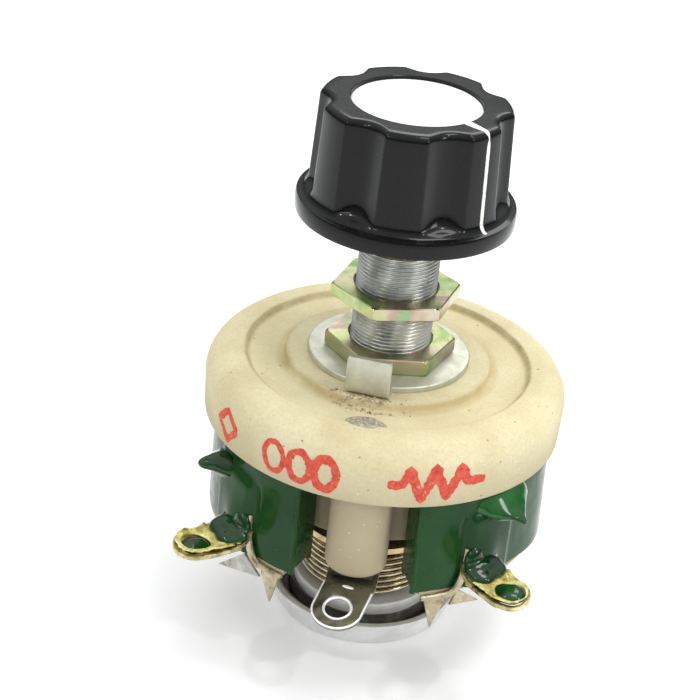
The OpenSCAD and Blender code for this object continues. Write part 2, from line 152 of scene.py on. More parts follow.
def curve_through(points, steps):
    """A smooth path through (a, b, c) points, by Catmull-Rom interpolation."""
    out = []
    for i in range(len(points) - 1):
        p = [np.array(points[min(max(i + k, 0), len(points) - 1)]) for k in (-1, 0, 1, 2)]
        square = 2 * p[0] - 5 * p[1] + 4 * p[2] - p[3]
        cube = 3 * p[1] - p[0] - 3 * p[2] + p[3]
        for s in range(steps):
            t = s / steps
            out.append(tuple(0.5 * (2 * p[1] + (p[2] - p[0]) * t + square * t * t + cube * t ** 3)))
    out.append(tuple(points[-1]))
    return out


def smooth(x, start, end):
    t = min(max((x - start) / (end - start), 0.0), 1.0)
    return t * t * (3 - 2 * t)


def bumps(point, size, depth=3):
    """Smooth noise of about one unit, with features of the given size in millimetres."""
    return noise.fractal(Vector(point) / size, 1.0, 2.0, depth)


def piece(name, parts, material, body, stands_for=(), sharp=40):
    """One object from (vertices in mm, faces) parts, riding on a body and standing for CAD nodes."""
    verts, faces = [], []
    for part_verts, part_faces in parts:
        base = len(verts)
        verts.extend(part_verts)
        faces.extend([[base + i for i in face] for face in part_faces])
    mesh = bpy.data.meshes.new(name)
    mesh.from_pydata([(x * MM, y * MM, z * MM) for x, y, z in verts], [], faces)
    work = bmesh.new()
    work.from_mesh(mesh)
    bmesh.ops.remove_doubles(work, verts=work.verts, dist=1e-7)
    bmesh.ops.recalc_face_normals(work, faces=work.faces)
    work.to_mesh(mesh)
    work.free()
    mesh.shade_smooth()
    mesh.set_sharp_from_angle(angle=math.radians(sharp))
    mesh.materials.append(material)
    obj = bpy.data.objects.new(name, mesh)
    bpy.context.scene.collection.objects.link(obj)
    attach(obj, body)
    if stands_for:
        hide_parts(*stands_for)
    return obj


def grid(rows, wrap_across=True, wrap_along=False, caps=False):
    """Quads over equally long rows of points. caps closes the first and last row with one face each."""
    count, width = len(rows), len(rows[0])
    verts = [p for row in rows for p in row]
    faces = []
    for i in range(count if wrap_along else count - 1):
        j = (i + 1) % count
        for k in range(width if wrap_across else width - 1):
            m = (k + 1) % width
            faces.append([i * width + k, i * width + m, j * width + m, j * width + k])
    if caps:
        faces.append(list(range(width)))
        faces.append([(count - 1) * width + k for k in range(width)])
    return verts, faces


def arc(centre, radius, start, end, steps=6):
    """Points of an arc in a profile, angles in degrees."""
    out = []
    for i in range(steps + 1):
        a = math.radians(start + (end - start) * i / steps)
        out.append((centre[0] + radius * math.cos(a), centre[1] + radius * math.sin(a)))
    return out


def rounded(corners, steps=5):
    """A closed profile from (r, z, corner radius) corners, its corners rounded."""
    out = []
    count = len(corners)
    for i, (x, z, radius) in enumerate(corners):
        here = np.array((x, z))
        if radius <= 0:
            out.append((x, z))
            continue
        back = np.array(corners[i - 1][:2]) - here
        ahead = np.array(corners[(i + 1) % count][:2]) - here
        back_length, ahead_length = np.linalg.norm(back), np.linalg.norm(ahead)
        back, ahead = back / back_length, ahead / ahead_length
        half = math.acos(max(-1.0, min(1.0, float(back @ ahead)))) / 2
        reach = min(radius / math.tan(half), back_length * 0.49, ahead_length * 0.49)
        bow = reach * math.tan(half)
        centre = here + (back + ahead) / np.linalg.norm(back + ahead) * bow / math.sin(half)
        first, last = here + back * reach - centre, here + ahead * reach - centre
        turn = math.atan2(first[0] * last[1] - first[1] * last[0], float(first @ last))
        for s in range(steps + 1):
            a = turn * s / steps
            c, q = math.cos(a), math.sin(a)
            out.append((centre[0] + first[0] * c - first[1] * q, centre[1] + first[0] * q + first[1] * c))
    return out


def divided(profile, longest=0.8, closed=True):
    """The profile with extra points, so that no side is longer than longest."""
    out = []
    count = len(profile)
    for i in range(count if closed else count - 1):
        a, b = np.array(profile[i]), np.array(profile[(i + 1) % count])
        steps = max(1, math.ceil(np.linalg.norm(b - a) / longest))
        out.extend(tuple(a + (b - a) * s / steps) for s in range(steps))
    if not closed:
        out.append(tuple(profile[-1]))
    return out


def lathe(profile, turns=192, from_az=0.0, sweep=360.0, closed=True, shape=None):
    """A profile of (r, z) swept about Z. shape(r, az, z) may return a changed (r, z)."""
    full = sweep >= 360.0
    azimuths = [from_az + sweep * k / turns for k in range(turns if full else turns + 1)]
    columns = []
    for az in azimuths:
        column = []
        for r, z in profile:
            if shape:
                r, z = shape(r, az, z)
            column.append(polar(r, az, z))
        columns.append(column)
    return grid(columns, wrap_across=closed, wrap_along=full, caps=not full and closed)


def tube(path, radius, sides=12):
    """A round bar along a path of points, its radius a number or a list of one for each point."""
    points = [Vector(p) for p in path]
    side = None
    rows = []
    for i, p in enumerate(points):
        tangent = (points[min(i + 1, len(points) - 1)] - points[max(i - 1, 0)]).normalized()
        if side is None:
            side = tangent.orthogonal().normalized()
        side = (side - tangent * side.dot(tangent)).normalized()
        other = tangent.cross(side)
        r = radius[i] if isinstance(radius, list) else radius
        turns = [2 * math.pi * k / sides for k in range(sides)]
        rows.append([tuple(p + side * r * math.cos(a) + other * r * math.sin(a)) for a in turns])
    return grid(rows, caps=True)


def blob(centre, radii, az=0.0, tilt=0.0, rough=0.08, seed=0.0, segments=28, rings=18):
    """A closed drop with slightly uneven sides, turned to az. tilt is its slope outwards."""
    rows = []
    for i in range(rings + 1):
        row = []
        for k in range(segments):
            n = direction(math.pi * i / rings, 2 * math.pi * k / segments)
            grow = 1 + rough * bumps((n[0] + seed, n[1], n[2]), 0.9, 2)
            x, y, z = n[0] * radii[0] * grow, n[1] * radii[1] * grow, n[2] * radii[2] * grow
            y, z = turned(y, z, tilt)
            x, y = turned(x, y, az)
            row.append((centre[0] + x, centre[1] + y, centre[2] + z))
        rows.append(row)
    return grid(rows)


def melted(centre, drops, az, rough=0.05, seed=0.0, segments=56, rings=36):
    """One smooth body round several ellipsoids that all hold the centre.

    drops holds (offset, radii) in a frame turned to az.
    """
    power = 7.0
    rows = []
    for i in range(rings + 1):
        row = []
        for k in range(segments):
            ray = np.array(direction(math.pi * i / rings, 2 * math.pi * k / segments))
            total = 0.0
            for offset, radii in drops:
                start = -np.array(offset) / radii
                way = ray / radii
                slope = float(start @ way)
                root = slope * slope - float(way @ way) * (float(start @ start) - 1)
                total += max((-slope + math.sqrt(max(root, 0.0))) / float(way @ way), 0.0) ** power
            reach = total ** (1 / power) * (1 + rough * bumps((ray[0] + seed, ray[1], ray[2]), 0.7, 2))
            x, y = turned(ray[0] * reach, ray[1] * reach, az)
            row.append((centre[0] + x, centre[1] + y, centre[2] + ray[2] * reach))
        rows.append(row)
    return grid(rows)


def hull_of(points):
    """A closed faceted solid around a few points."""
    work = bmesh.new()
    for p in points:
        work.verts.new(p)
    bmesh.ops.convex_hull(work, input=work.verts)
    work.verts.ensure_lookup_table()
    work.verts.index_update()
    verts = [tuple(v.co) for v in work.verts]
    faces = [[v.index for v in f.verts] for f in work.faces]
    work.free()
    return verts, faces


def sheet_strip(path, widths, thickness, bow=0.0, across=9):
    """A bent strip along (y, z) points, with one width for each. bow curls its long edges up."""
    rows = []
    for (y, z), (ny, nz), width in zip(path, normals(path), widths):
        if nz < 0:
            ny, nz = -ny, -nz
        top, under = [], []
        for k in range(across):
            x = (k / (across - 1) - 0.5) * width
            lift = bow * (2 * x / max(widths)) ** 2
            for face, out in ((top, lift + thickness / 2), (under, lift - thickness / 2)):
                face.append((x, y + ny * out, z + nz * out))
        rows.append(top + under[::-1])
    return grid(rows, caps=True)


def placed(part, az=0.0, slide=(0, 0, 0)):
    """A part moved by slide and then turned to an azimuth about Z."""
    verts = []
    for x, y, z in part[0]:
        x, y = turned(x + slide[0], y + slide[1], az)
        verts.append((x, y, z + slide[2]))
    return verts, part[1]


# ---------------------------------------------------------------- materials

class Paint:
    """A node material with small helpers, in object coordinates, which are metres."""

    def __init__(self, name, color, roughness=0.5, metallic=0.0, **sockets):
        self.material = bpy.data.materials.new(name)
        self.material.use_nodes = True
        self.tree = self.material.node_tree
        self.shader = self.tree.nodes["Principled BSDF"]
        self.shader.inputs["Base Color"].default_value = (*color, 1)
        self.shader.inputs["Roughness"].default_value = roughness
        self.shader.inputs["Metallic"].default_value = metallic
        for socket, value in sockets.items():
            self.shader.inputs[socket.replace("_", " ")].default_value = value
        self.coordinates = self.node("ShaderNodeTexCoord").outputs["Object"]

    def node(self, kind, **settings):
        made = self.tree.nodes.new(kind)
        for key, value in settings.items():
            setattr(made, key, value)
        return made

    def link(self, source, target):
        self.tree.links.new(source, target)

    def stretched(self, scale):
        """The coordinates scaled by a different factor along each axis."""
        mapping = self.node("ShaderNodeMapping")
        mapping.inputs["Scale"].default_value = scale
        self.link(self.coordinates, mapping.inputs["Vector"])
        return mapping.outputs["Vector"]

    def noise(self, size_mm, detail=4.0, rough=0.55, vector=None, distortion=0.0):
        made = self.node("ShaderNodeTexNoise")
        made.inputs["Scale"].default_value = 1 / (size_mm * MM)
        made.inputs["Detail"].default_value = detail
        made.inputs["Roughness"].default_value = rough
        made.inputs["Distortion"].default_value = distortion
        self.link(vector or self.coordinates, made.inputs["Vector"])
        return made.outputs["Fac"]

    def cells(self, size_mm):
        made = self.node("ShaderNodeTexVoronoi")
        made.inputs["Scale"].default_value = 1 / (size_mm * MM)
        self.link(self.coordinates, made.inputs["Vector"])
        return made.outputs["Distance"]

    def math(self, operation, a, b=0.0):
        made = self.node("ShaderNodeMath", operation=operation)
        for value, socket in ((a, made.inputs[0]), (b, made.inputs[1])):
            if isinstance(value, (int, float)):
                socket.default_value = value
            else:
                self.link(value, socket)
        return made.outputs["Value"]

    def ramp(self, factor, stops):
        made = self.node("ShaderNodeValToRGB")
        elements = made.color_ramp.elements
        while len(elements) < len(stops):
            elements.new(0.5)
        for element, (place, color) in zip(elements, stops):
            element.position = place
            element.color = (*color, 1)
        self.link(factor, made.inputs["Fac"])
        return made.outputs["Color"]

    def level(self, factor, start, end, low_value=0.0, high_value=1.0):
        """factor mapped from start..end to low_value..high_value, and held there outside."""
        made = self.node("ShaderNodeMapRange")
        limits = (("From Min", start), ("From Max", end), ("To Min", low_value), ("To Max", high_value))
        for key, value in limits:
            made.inputs[key].default_value = value
        self.link(factor, made.inputs["Value"])
        return made.outputs["Result"]

    def mix(self, factor, a, b):
        made = self.node("ShaderNodeMix", data_type="RGBA")
        self.link(factor, made.inputs["Factor"])
        for value, socket in ((a, made.inputs["A"]), (b, made.inputs["B"])):
            if isinstance(value, tuple):
                socket.default_value = (*value, 1)
            else:
                self.link(value, socket)
        return made.outputs["Result"]

    def axis(self, name):
        split = self.node("ShaderNodeSeparateXYZ")
        self.link(self.coordinates, split.inputs["Vector"])
        return split.outputs[name]

    def radius(self):
        """The distance from the Z axis, in metres."""
        x, y = self.axis("X"), self.axis("Y")
        squares = self.math("ADD", self.math("MULTIPLY", x, x), self.math("MULTIPLY", y, y))
        return self.math("SQRT", squares)

    def both(self, a, b):
        """The product of two masks."""
        return self.math("MULTIPLY", a, b)

    def near(self, value, target_mm, start_mm, end_mm, most):
        """A mask around a value in metres: most up to start_mm off the target, 0 from end_mm off it."""
        away = self.math("ABSOLUTE", self.math("SUBTRACT", value, target_mm * MM))
        return self.level(away, start_mm * MM, end_mm * MM, most, 0.0)

    def color(self, source):
        self.link(source, self.shader.inputs["Base Color"])

    def roughness(self, factor, start, end, low_value, high_value):
        self.link(self.level(factor, start, end, low_value, high_value), self.shader.inputs["Roughness"])

    def bump(self, height, depth_mm, strength=1.0):
        made = self.node("ShaderNodeBump")
        made.inputs["Distance"].default_value = depth_mm * MM
        made.inputs["Strength"].default_value = strength
        self.link(height, made.inputs["Height"])
        self.link(made.outputs["Normal"], self.shader.inputs["Normal"])


def ceramic_material():
    """Cream pressed ceramic, stained round the hub, with painted shade along the recess edge, down the rim,
    under the disc and on the post.
    """
    paint = Paint("ceramic_cream", (0.74, 0.66, 0.40), 0.92)
    cloud = paint.noise(9.0, 5.0)
    radius, height = paint.radius(), paint.axis("Z")
    on_top = paint.level(height, (HUB_TOP - 1.4) * MM, (HUB_TOP - 0.9) * MM)
    color = paint.ramp(cloud, [(0.30, (0.66, 0.57, 0.34)), (0.50, (0.75, 0.67, 0.42)),
                               (0.72, (0.80, 0.73, 0.49))])

    stain = paint.both(paint.near(radius, HUB_R + 0.35, 0.2, 1.0, 0.62), on_top)
    patchy = paint.level(paint.noise(6.0, 3.0), 0.2, 0.55)
    color = paint.mix(paint.both(stain, patchy), color, (0.47, 0.33, 0.12))
    # Painted shade: the tan shadow line along the inside of the recess edge, on the top face.
    recess_shade = paint.both(paint.near(radius, RECESS_R - 0.25, 0.05, 0.6, 0.7), on_top)
    patchy = paint.level(paint.noise(3.0, 3.0), 0.30, 0.60)
    color = paint.mix(paint.both(recess_shade, patchy), color, (0.44, 0.34, 0.14))

    # Painted shade on the collar and the underside inside its radius, below the disc.
    inside = paint.level(radius, (COLLAR_R + 0.2) * MM, (COLLAR_R + 0.8) * MM, 1.0, 0.0)
    below = paint.level(height, (DISC_BOTTOM - 1.0) * MM, (DISC_BOTTOM + 1.0) * MM, 0.8, 0.0)
    color = paint.mix(paint.both(inside, below), color, (0.26, 0.22, 0.17))
    # Painted shade: the rim darker towards its bottom, and everything below the rim too.
    rim_low_shade = paint.level(height, (DISC_BOTTOM - 0.2) * MM, (DISC_BOTTOM + 5.6) * MM, 0.62, 0.0)
    color = paint.mix(rim_low_shade, color, (0.40, 0.34, 0.23))
    # Painted shade: a further darkening of the post and everything else below the disc's underside.
    post_shade = paint.level(height, (DISC_BOTTOM - 1.0) * MM, (DISC_BOTTOM + 0.2) * MM, 0.36, 0.0)
    color = paint.mix(post_shade, color, (0.36, 0.28, 0.19))

    dark_specks = paint.level(paint.cells(1.6), 0.06, 0.11, 0.75, 0.0)
    rare = paint.level(paint.noise(3.0, 2.0), 0.53, 0.58)
    color = paint.mix(paint.both(dark_specks, rare), color, (0.14, 0.11, 0.07))
    pale_specks = paint.level(paint.cells(1.1), 0.08, 0.15, 0.35, 0.0)
    color = paint.mix(paint.both(pale_specks, paint.level(cloud, 0.48, 0.54)), color, (0.97, 0.94, 0.84))
    grain = paint.noise(0.42, 4.0, 0.75)
    paint.color(paint.mix(paint.level(grain, 0.38, 0.72, 0.0, 0.34), color, (0.46, 0.39, 0.22)))
    paint.bump(paint.math("ADD", grain, paint.math("MULTIPLY", paint.noise(1.6, 4.0), 0.8)), 0.11)
    return paint.material


def enamel_material(name, deep, middle, bright, gloss):
    """Fired vitreous enamel, darker where it lies thick."""
    paint = Paint(name, middle, 0.1, 0.0, IOR=1.22, Coat_Weight=gloss, Coat_Roughness=0.03, Coat_IOR=1.4)
    paint.color(paint.ramp(paint.noise(7.0, 3.0), [(0.34, deep), (0.56, middle), (0.8, bright)]))
    paint.roughness(paint.noise(1.2, 3.0), 0.3, 0.7, 0.10, 0.30)
    ripple = paint.math("ADD", paint.noise(2.6, 2.0), paint.math("MULTIPLY", paint.noise(0.6, 2.0), 0.05))
    paint.bump(ripple, 0.08, 0.45)
    return paint.material


def brass_material(name, base, dark, pale, tarnish=0.5, metallic=0.9):
    """Rough strip metal with dark tarnish in its fine grain."""
    paint = Paint(name, base, 0.35, metallic)
    cloud = paint.noise(1.5, 5.0, 0.6)
    tone = paint.ramp(cloud, [(0.34, dark), (0.5, base), (0.66, pale)])
    fine = paint.noise(0.35, 3.0)
    paint.color(paint.mix(paint.level(fine, 0.45, 0.7, 0.0, tarnish), tone, dark))
    paint.roughness(cloud, 0.3, 0.7, 0.22, 0.55)
    paint.bump(paint.math("ADD", cloud, fine), 0.05, 0.6)
    return paint.material


def steel_material(name, base, dark, rough=(0.2, 0.42), grain=0.5, brushed=None, metallic=1.0):
    """Plated or turned metal. brushed gives the stretch of its fine scratches along each axis."""
    paint = Paint(name, base, rough[0], metallic)
    cloud = paint.noise(3.0, 4.0)
    fine = paint.noise(grain, 3.0, 0.6, paint.stretched(brushed) if brushed else None)
    tone = paint.ramp(cloud, [(0.35, dark), (0.55, base)])
    paint.color(paint.mix(paint.level(fine, 0.5, 0.75, 0.0, 0.4), tone, dark))
    paint.roughness(fine, 0.3, 0.7, *rough)
    paint.bump(fine, 0.012, 0.5)
    return paint.material


def chromate_material():
    """Yellow chromate on zinc: broad patches of straw, green and rose over a satin metal."""
    paint = Paint("chromate_plate", (0.50, 0.47, 0.32), 0.24, 1.0)
    film = paint.noise(7.0, 2.0, 0.45, distortion=0.8)
    straw, pale_straw = (0.46, 0.50, 0.22), (0.52, 0.48, 0.33)
    green, rose, deep_green = (0.20, 0.36, 0.14), (0.46, 0.31, 0.25), (0.20, 0.38, 0.17)
    tone = paint.ramp(film, [(0.30, green), (0.42, straw), (0.52, pale_straw), (0.60, rose),
                             (0.70, deep_green)])
    worn = paint.level(paint.noise(3.0, 2.0), 0.55, 0.75, 0.0, 0.35)
    paint.color(paint.mix(worn, tone, (0.64, 0.66, 0.57)))
    paint.roughness(paint.noise(1.1, 3.0), 0.3, 0.7, 0.16, 0.28)
    paint.bump(paint.noise(1.2, 2.0), 0.008, 0.5)
    return paint.material


def phenolic_material():
    """Glossy black moulding with faint smudges."""
    paint = Paint("phenolic_black", (0.004, 0.004, 0.0045), 0.2, 0.0, IOR=1.2, Coat_Weight=0.5, Coat_IOR=1.35,
                  Coat_Roughness=0.06)
    smudge = paint.noise(5.0, 4.0)
    fine = paint.noise(0.25, 3.0)
    paint.color(paint.ramp(fine, [(0.35, (0.0035, 0.0035, 0.004)), (0.7, (0.007, 0.007, 0.0075))]))
    worn = paint.math("ADD", paint.math("MULTIPLY", smudge, 0.7), paint.math("MULTIPLY", fine, 0.3))
    paint.roughness(worn, 0.35, 0.65, 0.14, 0.30)
    paint.bump(paint.math("ADD", paint.math("MULTIPLY", paint.noise(2.5, 2.0), 0.6), fine), 0.03, 0.3)
    return paint.material


def satin_material(name, base, rough=0.5):
    """A paint, sheet or moulding with a fine grain."""
    paint = Paint(name, base, rough)
    fine = paint.noise(0.3, 3.0)
    shade = tuple(c * 0.86 for c in base)
    paint.color(paint.ramp(fine, [(0.3, shade), (0.6, base)]))
    paint.roughness(fine, 0.3, 0.7, rough * 0.8, min(rough * 1.3, 1.0))
    paint.bump(fine, 0.02, 0.5)
    return paint.material


def cup_shade_material():
    """A dark film that lines the dish, painted shade inside the cup, lighter grey in places."""
    paint = Paint("dish_painted_shade", (0.11, 0.105, 0.085), 0.45)
    cloud = paint.noise(2.2, 4.0)
    # thin and thick are the lighter and darker tones of the painted shade.
    thin, thick = (0.24, 0.235, 0.21), (0.07, 0.067, 0.055)
    paint.color(paint.ramp(cloud, [(0.35, thick), (0.55, (0.12, 0.115, 0.095)), (0.72, thin)]))
    paint.roughness(cloud, 0.3, 0.7, 0.3, 0.6)
    paint.bump(paint.noise(0.7, 3.0), 0.02, 0.6)
    return paint.material


def cement_material(name, base, stops, rough, grain_mm, detail, depth_mm, strength):
    """Crumbly cement, its colour given by (place, colour) stops over its grain."""
    paint = Paint(name, base, rough)
    grain = paint.noise(grain_mm, detail, 0.7)
    paint.color(paint.ramp(grain, stops))
    paint.bump(grain, depth_mm, strength)
    return paint.material


def ink_material():
    """Red stamped ink, thin in places, where the ceramic shows through."""
    paint = Paint("stamp_ink", (0.62, 0.055, 0.03), 0.8)
    thin = paint.level(paint.noise(0.9, 4.0, 0.65), 0.60, 0.70, 0.0, 0.75)
    tone = paint.ramp(paint.noise(0.5, 3.0), [(0.35, (0.55, 0.05, 0.03)), (0.65, (0.72, 0.11, 0.06))])
    paint.color(paint.mix(thin, tone, (0.70, 0.58, 0.40)))
    paint.bump(paint.noise(0.35, 3.0), 0.05, 0.6)
    return paint.material


CERAMIC = ceramic_material()
ENAMEL = enamel_material("enamel_green", (0.008, 0.044, 0.010), (0.011, 0.058, 0.013),
                         (0.016, 0.078, 0.018), 0.15)
HORN = enamel_material("glaze_horn", (0.004, 0.050, 0.008), (0.012, 0.14, 0.022), (0.030, 0.25, 0.045), 1.0)
GLAZE = enamel_material("glaze_blob", (0.002, 0.015, 0.003), (0.005, 0.045, 0.008), (0.014, 0.13, 0.02), 1.0)
LUG_BRASS = brass_material("lug_strip", (0.55, 0.47, 0.22), (0.16, 0.12, 0.05), (0.85, 0.78, 0.42), 0.6)
LEAF_BRASS = brass_material("lug_leaf", (0.84, 0.75, 0.24), (0.36, 0.25, 0.07), (0.94, 0.90, 0.50), 0.5, 0.35)
FLAP_TIN = brass_material("flap_tin", (0.50, 0.50, 0.46), (0.30, 0.28, 0.22), (0.66, 0.66, 0.62), 0.3, 0.3)
TAIL_BRASS = brass_material("strip_tail", (0.46, 0.40, 0.27), (0.28, 0.23, 0.14), (0.62, 0.56, 0.42), 0.3)
SPRING_BRASS = brass_material("spring_brass", (0.62, 0.48, 0.24), (0.34, 0.24, 0.11), (0.78, 0.64, 0.36), 0.3)
NICKEL = steel_material("nickel_thread", (0.66, 0.67, 0.64), (0.44, 0.45, 0.42), (0.26, 0.36), 1.6)
WASHER = steel_material("washer_plate", (0.68, 0.69, 0.58), (0.56, 0.56, 0.46), (0.42, 0.58), 0.8, None, 0.8)
TINNED = steel_material("tinned_strip", (0.26, 0.26, 0.21), (0.17, 0.17, 0.13), (0.25, 0.45), 0.6)
# Painted highlight: near-white tin for the bright edges and glints of the centre lug.
HIGHLIGHT_TIN = steel_material("painted_highlight_tin", (0.95, 0.95, 0.93), (0.80, 0.80, 0.77), (0.3, 0.5), 0.6, None, 0.4)
SHAFT = steel_material("shaft_steel", (0.62, 0.62, 0.61), (0.44, 0.44, 0.43), (0.2, 0.4), 0.3, (1, 1, 0.1))
BLACKENED = steel_material("blackened_steel", (0.12, 0.12, 0.125), (0.05, 0.05, 0.052), (0.35, 0.6), 0.3)
SPRING = steel_material("spring_wire", (0.66, 0.58, 0.40), (0.16, 0.12, 0.06), (0.10, 0.2), 2.2)
CHROMATE = chromate_material()
PHENOLIC = phenolic_material()
ALUMINIUM = steel_material("seat_aluminium", (0.93, 0.93, 0.91), (0.80, 0.80, 0.78), (0.4, 0.56), 0.6,
                           None, 0.1)
# Painted shade: the rotor hub, hidden inside the spring, is darkened so that the gaps between the coils read
# as shade.
HUB_SHADE = satin_material("hub_painted_shade", (0.035, 0.032, 0.028), 0.7)
CUP = steel_material("cup_aluminium", (0.88, 0.88, 0.87), (0.76, 0.76, 0.74), (0.34, 0.5), 0.6, None, 0.25)
# Painted shade: the collector ring is darkened to stand for the shadowed gap under the collar.
SLIP_RING = steel_material("slip_ring", (0.16, 0.15, 0.13), (0.08, 0.07, 0.06), (0.4, 0.6), 0.5)
CAP = satin_material("cap_disc", (0.90, 0.90, 0.89), 0.42)
POINTER = satin_material("pointer_paint", (0.86, 0.86, 0.82), 0.55)
CUP_SHADE = cup_shade_material()
CEMENT = cement_material(
    "cement_grey", (0.30, 0.28, 0.25),
    [(0.35, (0.20, 0.17, 0.13)), (0.52, (0.40, 0.36, 0.27)), (0.68, (0.66, 0.60, 0.46))],
    rough=0.95, grain_mm=0.4, detail=4.0, depth_mm=0.16, strength=1.0)
CRUMBS = cement_material(
    "cement_crumbs", (0.42, 0.33, 0.19),
    [(0.36, (0.20, 0.14, 0.07)), (0.50, (0.48, 0.39, 0.23)), (0.64, (0.68, 0.60, 0.45))],
    rough=0.7, grain_mm=0.5, detail=3.0, depth_mm=0.05, strength=0.8)
INK = ink_material()
WIRE = steel_material("resistance_wire", (0.42, 0.36, 0.30), (0.20, 0.16, 0.12), (0.25, 0.5), 0.3)
GRAPHITE = steel_material("graphite", (0.06, 0.055, 0.05), (0.03, 0.028, 0.025), (0.4, 0.65), 0.3, None, 0.5)
MICA = satin_material("mica_sheet", (0.52, 0.44, 0.28), 0.4)


# ---------------------------------------------------------------- ceramic base

def base_profile():
    """The disc with its hub, recess and collar, and the groove under it that holds the ring."""
    groove_top = DISC_BOTTOM + 0.9
    groove_in, groove_out, bore = RING_BORE_R - 0.3, RING_R + 0.3, THREAD_R + 0.1
    rim_edge = [(r, z, 0) for r, z in arc((DISC_R - RIM_ROUND, RIM_TOP - RIM_ROUND), RIM_ROUND, 90, 0, 12)]
    return divided(rounded([
        (bore, WEB, 0), (bore, HUB_TOP, 0), (HUB_R - 0.1, HUB_TOP, 0.35), (HUB_R + 0.15, RECESS_FLOOR, 0.5),
        (RECESS_R - 0.5, RECESS_FLOOR, 0.7), (RECESS_R + 0.05, RIM_TOP, 0.3),
        *rim_edge, (DISC_R - 0.2, DISC_BOTTOM, 0.35),
        (groove_out, DISC_BOTTOM, 0), (groove_out, groove_top, 0), (groove_in, groove_top, 0),
        (groove_in, DISC_BOTTOM, 0.2), (COLLAR_R, DISC_BOTTOM, 0.4), (COLLAR_R, COLLAR_BOTTOM, 0.5),
        (COLLAR_BORE_R, COLLAR_BOTTOM, 0.3), (COLLAR_BORE_R, WEB, 0.4)]), 0.7)


def cast(r, az, z):
    """The small unevenness of a pressed and fired body."""
    p = polar(r, az, z)
    n = bumps(p, 6.0, 2) * 0.05 + bumps(p, 1.1, 2) * 0.022
    return r + n * (1 if r > COLLAR_R else 0.3), z + n * 0.6


def ceramic_base():
    """The disc, and the post under its front for the centre terminal."""
    post_top = DISC_BOTTOM + 1.0
    post_profile = rounded([(0.01, post_top, 0), (POST_R, post_top, 0), (POST_R, POST_BOTTOM, 0.6),
                            (0.01, POST_BOTTOM, 0)])
    post = placed(lathe(divided(post_profile, 0.7), 64, shape=cast), 0, (0, -POST_AT, 0))
    disc = lathe(base_profile(), 288, shape=cast)
    piece("ceramic_base", [disc, post], CERAMIC, "base", ["base_disc"])


def rim_radius(z):
    """Outside radius of the disc at a height."""
    bend = RIM_TOP - RIM_ROUND
    if z > bend:
        return DISC_R - RIM_ROUND + math.sqrt(max(RIM_ROUND ** 2 - (z - bend) ** 2, 0))
    return DISC_R - 0.2 * (bend - z) / (bend - DISC_BOTTOM)


def stamp(points, width, seed=0.0):
    """An inked stroke on the rim through (arc length, height) points, with ragged edges and round ends."""
    step = 0.12
    path = divided(points, step, closed=False)
    rows = []
    for i, ((u, z), (nu, nz)) in enumerate(zip(path, normals(path))):
        from_end = (min(i, len(path) - 1 - i) + 1) * step
        end = min(1.0, from_end / (width * 0.5))
        half = width / 2 * math.sqrt(end * (2 - end))
        film, under = [], []
        for k in range(5):
            ragged = 1 + 0.35 * bumps((u + seed, z, k * 0.3), 0.7, 2)
            across = (k / 4 - 0.5) * 2 * half * ragged
            point_z = z + nz * across
            az = math.degrees((u + nu * across) / DISC_R)
            r, cast_z = cast(rim_radius(point_z), az, point_z)
            film.append(polar(r + 0.03, az, cast_z))
            under.append(polar(r - 0.05, az, cast_z))
        rows.append(film + under[::-1])
    return grid(rows, caps=True)


def on_rim(az, z):
    """An azimuth and a height as (arc length, height) on the rim."""
    return math.radians(az) * DISC_R, z


def ring_points(az, z, half_w, half_h, count=20):
    """A closed oval of (arc length, height) points around an azimuth."""
    u, z = on_rim(az, z)
    turns = [2 * math.pi * k / count for k in range(count + 1)]
    return [(u + half_w * math.cos(a), z + half_h * math.sin(a)) for a in turns]


def rim_marks():
    """Generic inked marks: a resistor zigzag at the right, three rings and a diamond to their left."""
    mid = DISC_BOTTOM + 3.3
    zigzag = [(8.0, 0), (12.5, 0), (14.5, 1.9), (18.5, -2.0), (22.5, 2.0), (26.5, -1.9), (30.5, 2.0),
              (33.0, 0), (39.0, 0)]
    diamond = [(-45.0, 0), (-50.0, 2.0), (-55.5, 0), (-50.0, -2.0), (-45.0, 0)]
    strokes = [stamp([on_rim(az, mid + up) for az, up in zigzag], 1.25, 1.0)]
    for k, (az, width) in enumerate(((-11.0, 1.1), (-19.5, 0.9), (-28.5, 0.75))):
        strokes.append(stamp(ring_points(az, mid - 0.1, 1.4, 2.0), width, 2.0 + k))
    strokes.append(stamp([on_rim(az, mid + up) for az, up in diamond], 0.9, 6.0))
    piece("rim_marks", strokes, INK, "base")


def top_surface(r):
    """Height of the disc's top between the hub and the rim."""
    return RECESS_FLOOR + (RIM_TOP - RECESS_FLOOR) * smooth(r, RECESS_R - 0.65, RECESS_R + 0.05)


def pocket_cement():
    """The cement that fills the rivet pocket, slightly domed and rough."""
    middle_x, middle_y = -0.7, -POST_AT - 0.2
    half_x, half_y = 2.6, 1.95
    around, steps = 56, 9
    rows = []
    for i in range(steps + 1):
        s = i / steps
        row = []
        for k in range(around):
            a = 2 * math.pi * k / around
            edge = 1 + 0.10 * bumps((math.cos(a) * 2, math.sin(a) * 2, 3.0), 1.0, 2)
            x = middle_x + half_x * s * edge * math.cos(a)
            y = middle_y + half_y * s * edge * math.sin(a)
            dome = 0.16 * (1 - s ** 4) + 0.06 * (1 - s ** 8)
            lumps = 0.14 * bumps((x, y, 1.0), 0.5, 3) * (1 - s ** 6)
            row.append((x, y, top_surface(math.hypot(x, y)) + dome + lumps - 0.02))
        rows.append(row)
    rows.append([(middle_x, middle_y, top_surface(POST_AT) - 0.3)] * around)
    piece("pocket_cement", [grid(rows)], CEMENT, "base", ["rivet_cement"])


